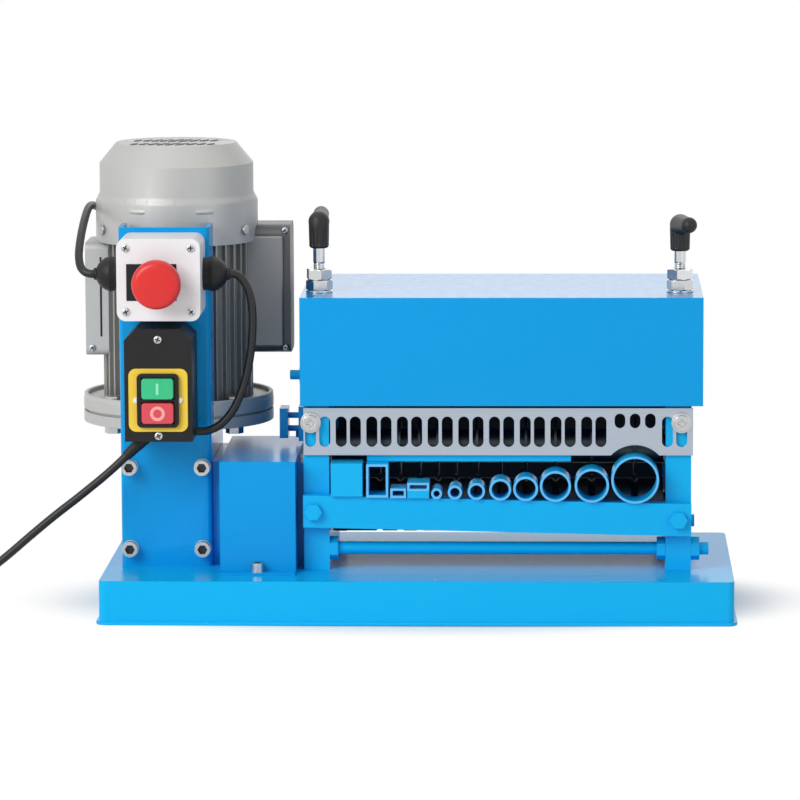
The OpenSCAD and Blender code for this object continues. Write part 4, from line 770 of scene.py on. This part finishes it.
def foilRing(z, radius):   # even steps plus the four corners
    corners = [math.atan2(up, x) % (2 * math.pi)
               for x in (foil["right"], -foil["left"]) for up in (foil["up"], -foil["down"])]
    angles = sorted([2 * math.pi * k / foil["steps"] for k in range(foil["steps"])] + corners)
    sizes = [(radius(a) if callable(radius) else radius, a) for a in angles]
    return [Vector((r * math.cos(a), r * math.sin(a), z)) for r, a in sizes]


foilMesh = bmesh.new()
foilProfile = [(0, foilEdge), (foil["thick"], foilEdge), (foil["thick"], foil["hole"]), (0, foil["hole"])]
foilPlace = placeAt(neckX, lidLow.y - foil["proud"], neckZ, towardViewer)
loft(foilMesh, moved([foilRing(z, radius) for z, radius in foilProfile], foilPlace), True)
foilMesh = meshFrom("black_foil_plate", outward(foilMesh))
makeObject("black_foil_plate", foilMesh, "frame", [blackLabel])

# marks on the push buttons: a bar for start, a ring for stop, raised a little
marks = {"barWide": 2.2, "barTall": 9.2, "ringOut": 6.0, "ringIn": 3.5, "proud": 0.3, "sunk": 0.05}


def buttonFace(node):   # the place of a mark, just in the front of a button
    low, high = nodeBox(node)
    return placeAt((low.x + high.x) / 2, low.y + marks["sunk"], (low.z + high.z) / 2, towardViewer)


barMesh, ringMesh = bmesh.new(), bmesh.new()
barRings = [[Vector((sx * marks["barWide"] / 2, sz * marks["barTall"] / 2, up))
             for sx, sz in ((-1, -1), (1, -1), (1, 1), (-1, 1))] for up in (0, marks["proud"])]
loft(barMesh, moved(barRings, buttonFace("start_button")))
barMesh = meshFrom("start_mark", barMesh)
makeObject("start_mark", barMesh, bodyOf("start_button"), [paleGreenPrint])
markIn, markOut, proud = marks["ringIn"], marks["ringOut"], marks["proud"]
markRings = [ring(up, r) for up, r in ((0, markIn), (0, markOut), (proud, markOut), (proud, markIn))]
loft(ringMesh, moved(markRings, buttonFace("stop_button")), True)
ringMesh = meshFrom("stop_mark", outward(ringMesh))
makeObject("stop_mark", ringMesh, bodyOf("stop_button"), [paleRedPrint])

# two lugs that hold the switch insert, either side of the buttons; their white is painted highlight where glints show
lugs = {"out": 0.6, "radius": 2.6, "proud": 2.2, "ahead": 1.45, "round": 0.6, "count": 24}
bezelLow, bezelHigh = nodeBox("switch_bezel")
lugMesh = bmesh.new()
lugProfile = [(0, 1), (lugs["round"], 1), (1, lugs["round"])]   # shares of how proud it stands and of its radius
for x in (bezelLow.x - lugs["out"], bezelHigh.x + lugs["out"]):
    place = placeAt(x, switchLow.y - lugs["ahead"], (bezelLow.z + bezelHigh.z) / 2, towardViewer)
    rings = [ring(lugs["proud"] * up, lugs["radius"] * r, lugs["count"]) for up, r in lugProfile]
    loft(lugMesh, moved(rings, place))
lugMesh = meshFrom("switch_insert_lugs", lugMesh, 50)
makeObject("switch_insert_lugs", lugMesh, "frame", [whiteAbs])
print("front details made")


def block(bm, low, high):   # a box between two corners, in machine millimetres
    low, high = at(*low), at(*high)
    size = high - low
    bmesh.ops.create_cube(bm, size=1.0, matrix=Matrix.Translation((low + high) / 2) @ Matrix.Diagonal((*size, 1)))


# terminal box: a raised lid pan on its front, a border round it and a screw in each outer corner
termLow, termHigh = nodeBox("terminal_box")
lid = {
    "border": 6.0, "topBorder": 3, "proud": 3.2, "sunk": 0.4, "left": 44.0, "edge": 1.7, "edgeSteps": 4, "screwIn": 4.6}
lidScrew = {"head": 5.6, "tall": 1.8, "slotLong": 3.2, "slotWide": 0.9, "deep": 1.0}
panMesh = bmesh.new()
panLow = (termHigh.x - lid["left"], termLow.y - lid["proud"], termLow.z + lid["border"])
panHigh = (termHigh.x - lid["border"], termLow.y + lid["sunk"], termHigh.z - lid["border"] - lid["topBorder"])
block(panMesh, panLow, panHigh)
panMesh = meshFrom("cast_terminal_lid", panMesh, 180)
pan = makeObject("cast_terminal_lid", panMesh, "frame", [litHammerLacquer])
addBevel(pan, lid["edge"], lid["edgeSteps"])
lidScrews = [(termHigh.x - lid["screwIn"], termLow.y, z, twist)
             for z, twist in ((termHigh.z - lid["screwIn"], 30), (termLow.z + lid["screwIn"], 75))]
lidScrews = screwMesh("terminal_lid_screws", lidScrews, lidScrew)
makeObject("terminal_lid_screws", lidScrews, "frame", [groundSteel, blackSteelAndShade])

# fan cover: two pressed bars just under its step, either side of the middle
fanLow, fanHigh = nodeBox("fan_cover")
fanX, fanY = (fanLow.x + fanHigh.x) / 2, (fanLow.y + fanHigh.y) / 2
rimR = (fanHigh.y - fanLow.y) / 2
bars = {
    "angles": (-24.5, 24.5), "long": 15.0, "up": 28.5, "tall": 5.0, "proud": 0.8, "sunk": 0.6, "slope": 1.2,
    "least": 0.02}
barHalf = bars["tall"] / 2
pressed = bmesh.new()
for angle in bars["angles"]:
    half = math.degrees(bars["long"] / 2 / rimR)
    rings = []
    for k in range(9):
        a = math.radians(-90 + angle + half * (k / 4 - 1))
        rise = bars["proud"] * min(1, 4 * (1 - abs(k / 4 - 1)) + bars["least"])
        out = Vector((math.cos(a), math.sin(a), 0))
        section = [(rimR - bars["sunk"], -barHalf), (rimR + rise, -barHalf + bars["slope"]),
                   (rimR + rise, barHalf - bars["slope"]), (rimR - bars["sunk"], barHalf)]
        middle = at(fanX, fanY, fanLow.z + bars["up"])
        rings.append([middle + (out * r + Vector((0, 0, z))) * mm for r, z in section])
    loft(pressed, rings)
pressed = meshFrom("fan_cover_bars", outward(pressed), 60)
makeObject("fan_cover_bars", pressed, "frame", [silverLacquer])

# fan grille: the slotted disc is pressed down a little and each slot keeps a turned-up lip
slotDisc = 101   # diameter over the slots, which their sizes follow
grille = {
    "disc": 49.0, "down": 0.9, "near": 0.1, "pitch": slotDisc / 12.6, "row": slotDisc * 0.18, "long": slotDisc / 4,
    "shrink": 0.36, "short": 2, "side": 4, "turn": -30, "lipWide": 1.3, "lipEase": 0.5, "lipSunk": 0.2}
cover = bpy.data.objects["pressed_fan_cover"].data
for vertex in cover.vertices:
    spot = (vertex.co - origin) / mm
    if spot.z > fanHigh.z - grille["near"] and math.hypot(spot.x - fanX, spot.y - fanY) < grille["disc"]:
        vertex.co.z -= grille["down"] * mm
lipMesh = bmesh.new()
lipLeft = -grille["pitch"] / 4 - grille["lipWide"]
lipRight, lipSunk, lipEase = lipLeft + grille["lipWide"], grille["lipSunk"], grille["lipEase"]
lipSection = [(lipLeft - lipEase, -lipSunk), (lipRight, -lipSunk),
              (lipRight, grille["down"]), (lipLeft + lipEase, grille["down"])]
for row in (-1, 1):
    for i in range(-grille["side"], grille["side"] + 1):
        slotLong = grille["long"] - abs(i) * grille["pitch"] * grille["shrink"] - grille["short"]
        slotX, slotY = fanX + i * grille["pitch"], fanY + row * grille["row"]
        place = placeAt(slotX, slotY, fanHigh.z - grille["down"], turned(grille["turn"]))
        rings = [[Vector((x, y, z)) for x, z in lipSection] for y in (-slotLong / 2, slotLong / 2)]
        loft(lipMesh, moved(rings, place))
lipMesh = meshFrom("fan_grille_lips", outward(lipMesh), 40)
makeObject("fan_grille_lips", lipMesh, "frame", [silverLacquer])

# motor flange: a low rim round its upper tier
flangeLow, flangeHigh = nodeBox("motor_flange")
rim = {"out": 79.6, "thick": 3.2, "tall": 3.6, "sunk": 0.3, "outEase": 0.7, "inEase": 0.5}
rimIn, rimTop = rim["out"] - rim["thick"], rim["tall"]
rimMesh = bmesh.new()
rimSection = [(rim["out"], -rim["sunk"]), (rim["out"], rimTop - rim["outEase"]), (rim["out"] - rim["outEase"], rimTop),
              (rimIn + rim["inEase"], rimTop), (rimIn, rimTop - rim["inEase"]), (rimIn, -rim["sunk"])]
loft(rimMesh, moved([ring(z, r, 96) for r, z in rimSection], placeAt(fanX, fanY, flangeHigh.z)), True)
rimMesh = meshFrom("cast_flange_rim", outward(rimMesh), 35)
makeObject("cast_flange_rim", rimMesh, "frame", [silverLacquer])

# capacitor box: a dark gasket line down its front and a screw low in its corner
capLow, capHigh = nodeBox("capacitor_box")
gasket = {"in": 12.2, "wide": 1.6, "low": 16.0, "high": 12.0, "proud": 0.5, "sunk": 0.4, "edge": 0.3}
capScrew = {"head": 5.6, "tall": 1.5, "slotLong": 3.6, "slotWide": 1.0, "deep": 1.1, "in": 5.5, "up": 6.5, "twist": 35}
gasketMesh = bmesh.new()
gasketLow = (capLow.x + gasket["in"], capLow.y - gasket["proud"], capLow.z + gasket["low"])
gasketHigh = (capLow.x + gasket["in"] + gasket["wide"], capLow.y + gasket["sunk"], capHigh.z - gasket["high"])
block(gasketMesh, gasketLow, gasketHigh)
gasketMesh = meshFrom("capacitor_box_gasket", gasketMesh, 180)
line = makeObject("capacitor_box_gasket", gasketMesh, "frame", [blackRubber])
addBevel(line, gasket["edge"])
capPlaces = [(capLow.x + capScrew["in"], capLow.y, capLow.z + capScrew["up"], capScrew["twist"])]
capMesh = screwMesh("capacitor_lid_screw", capPlaces, capScrew)
makeObject("capacitor_lid_screw", capMesh, "frame", [zincPlate, blackSteelAndShade])

# the sockets of the bolts get the dark material inside as painted shade; a socket's floor is a small hexagon
socketLargest = 9   # side in mm of a square larger than any socket's floor
bolts = bpy.data.objects["plated_socket_bolts"].data
bolts.materials.append(blackSteelAndShade)
shadedSocketFloors = [face for face in bolts.polygons if len(face.vertices) == 6 and face.area < (socketLargest * mm) ** 2]
shadedFloorEdges = {key for face in shadedSocketFloors for key in face.edge_keys}
for face in bolts.polygons:
    if face in shadedSocketFloors or (len(face.vertices) == 4 and shadedFloorEdges & set(face.edge_keys)):
        face.material_index = 1
print("sockets darkened:", len(shadedSocketFloors))

# the tray's front runs straight down to a low flare at the bench
tray = bpy.data.objects["pressed_base"].data
lip = {"from": 9.0, "to": 3.0, "near": 0.3}
for vertex in tray.vertices:
    if abs(vertex.co.z / mm - lip["from"]) < lip["near"]:
        vertex.co.z = lip["to"] * mm

# mains plug: bright pins and ribs on the strain relief
plugPiece = bpy.data.objects["moulded_mains_plug"]
plugLow, plugHigh = nodeBox("power_plug")
plug = {
    "pins": 19.0, "pinsIn": 0.4, "ribs": 4, "ribStep": 3.2, "ribFrom": 1.5, "ribOver": 1.3, "ribGrow": 0.16,
    "ribOut": 0.7, "ribSunk": 1.2, "ribHalf": 0.7, "ribFoot": 0.9}
plugPiece.data.materials.append(brightPin)
for face in plugPiece.data.polygons:
    if face.center.y > at(0, plugHigh.y - plug["pins"] + plug["pinsIn"], 0).y:
        face.material_index = 1
plugX, plugZ = (plugLow.x + plugHigh.x) / 2, coilHigh
ribMesh = bmesh.new()
for k in range(plug["ribs"]):
    y = plugLow.y + plug["ribFrom"] + k * plug["ribStep"]
    size = cords["thick"] / 2 + plug["ribOver"] + plug["ribGrow"] * k * plug["ribStep"]
    ribTop, ribLow = size + plug["ribOut"], size - plug["ribSunk"]
    profile = [(ribLow, -plug["ribFoot"]), (ribTop, -plug["ribHalf"]),
               (ribTop, plug["ribHalf"]), (ribLow, plug["ribFoot"])]
    loft(ribMesh, moved([ring(z, r, 32) for r, z in profile], placeAt(plugX, y, plugZ, towardViewer)))
ribMesh = meshFrom("plug_relief_ribs", outward(ribMesh), 40)
plugRibs = makeObject("plug_relief_ribs", ribMesh, "frame", [blackRubber])

# a tie round the coil: a flat band whose outer and inner outlines are joined across its width
tie = {
    "angle": 150.0, "wide": 8.0, "thick": 1.0, "inside": 1.4, "outside": 1.0, "over": 0.3,
    "low": 0.1, "innerLow": 0.18, "topShare": 0.2}
tieIn = cords["coilInner"] - cords["thick"] / 2 - tie["inside"]
tieOut = coilOuter + cords["thick"] / 2 + tie["outside"]
tieTop = coilHigh + cords["thick"] / 2 + tie["over"]
innerIn, innerOut = tieIn + tie["thick"], tieOut - tie["thick"]
innerTop = tieTop - tie["thick"] * tie["topShare"]
tieMesh = bmesh.new()
outline = [(tieIn, tie["low"]), (tieOut, tie["low"]), (tieOut, tieTop), (tieIn, tieTop)]
inner = [(innerIn, tie["innerLow"]), (innerOut, tie["innerLow"]), (innerOut, innerTop), (innerIn, innerTop)]
a = math.radians(tie["angle"])
out, across = Vector((math.cos(a), math.sin(a), 0)), Vector((-math.sin(a), math.cos(a), 0))
centre = at(*coilCentre, 0)
tieHalf = tie["wide"] / 2
sides = ((outline, -tieHalf), (outline, tieHalf), (inner, tieHalf), (inner, -tieHalf))
rings = [[centre + (out * r + across * side + Vector((0, 0, z))) * mm for r, z in shape] for shape, side in sides]
loft(tieMesh, rings, True)
tieMesh = meshFrom("coil_tie", outward(tieMesh), 40)
coilTie = makeObject("coil_tie", tieMesh, "frame", [blackNylon])
print("motor, plug and tie details made")
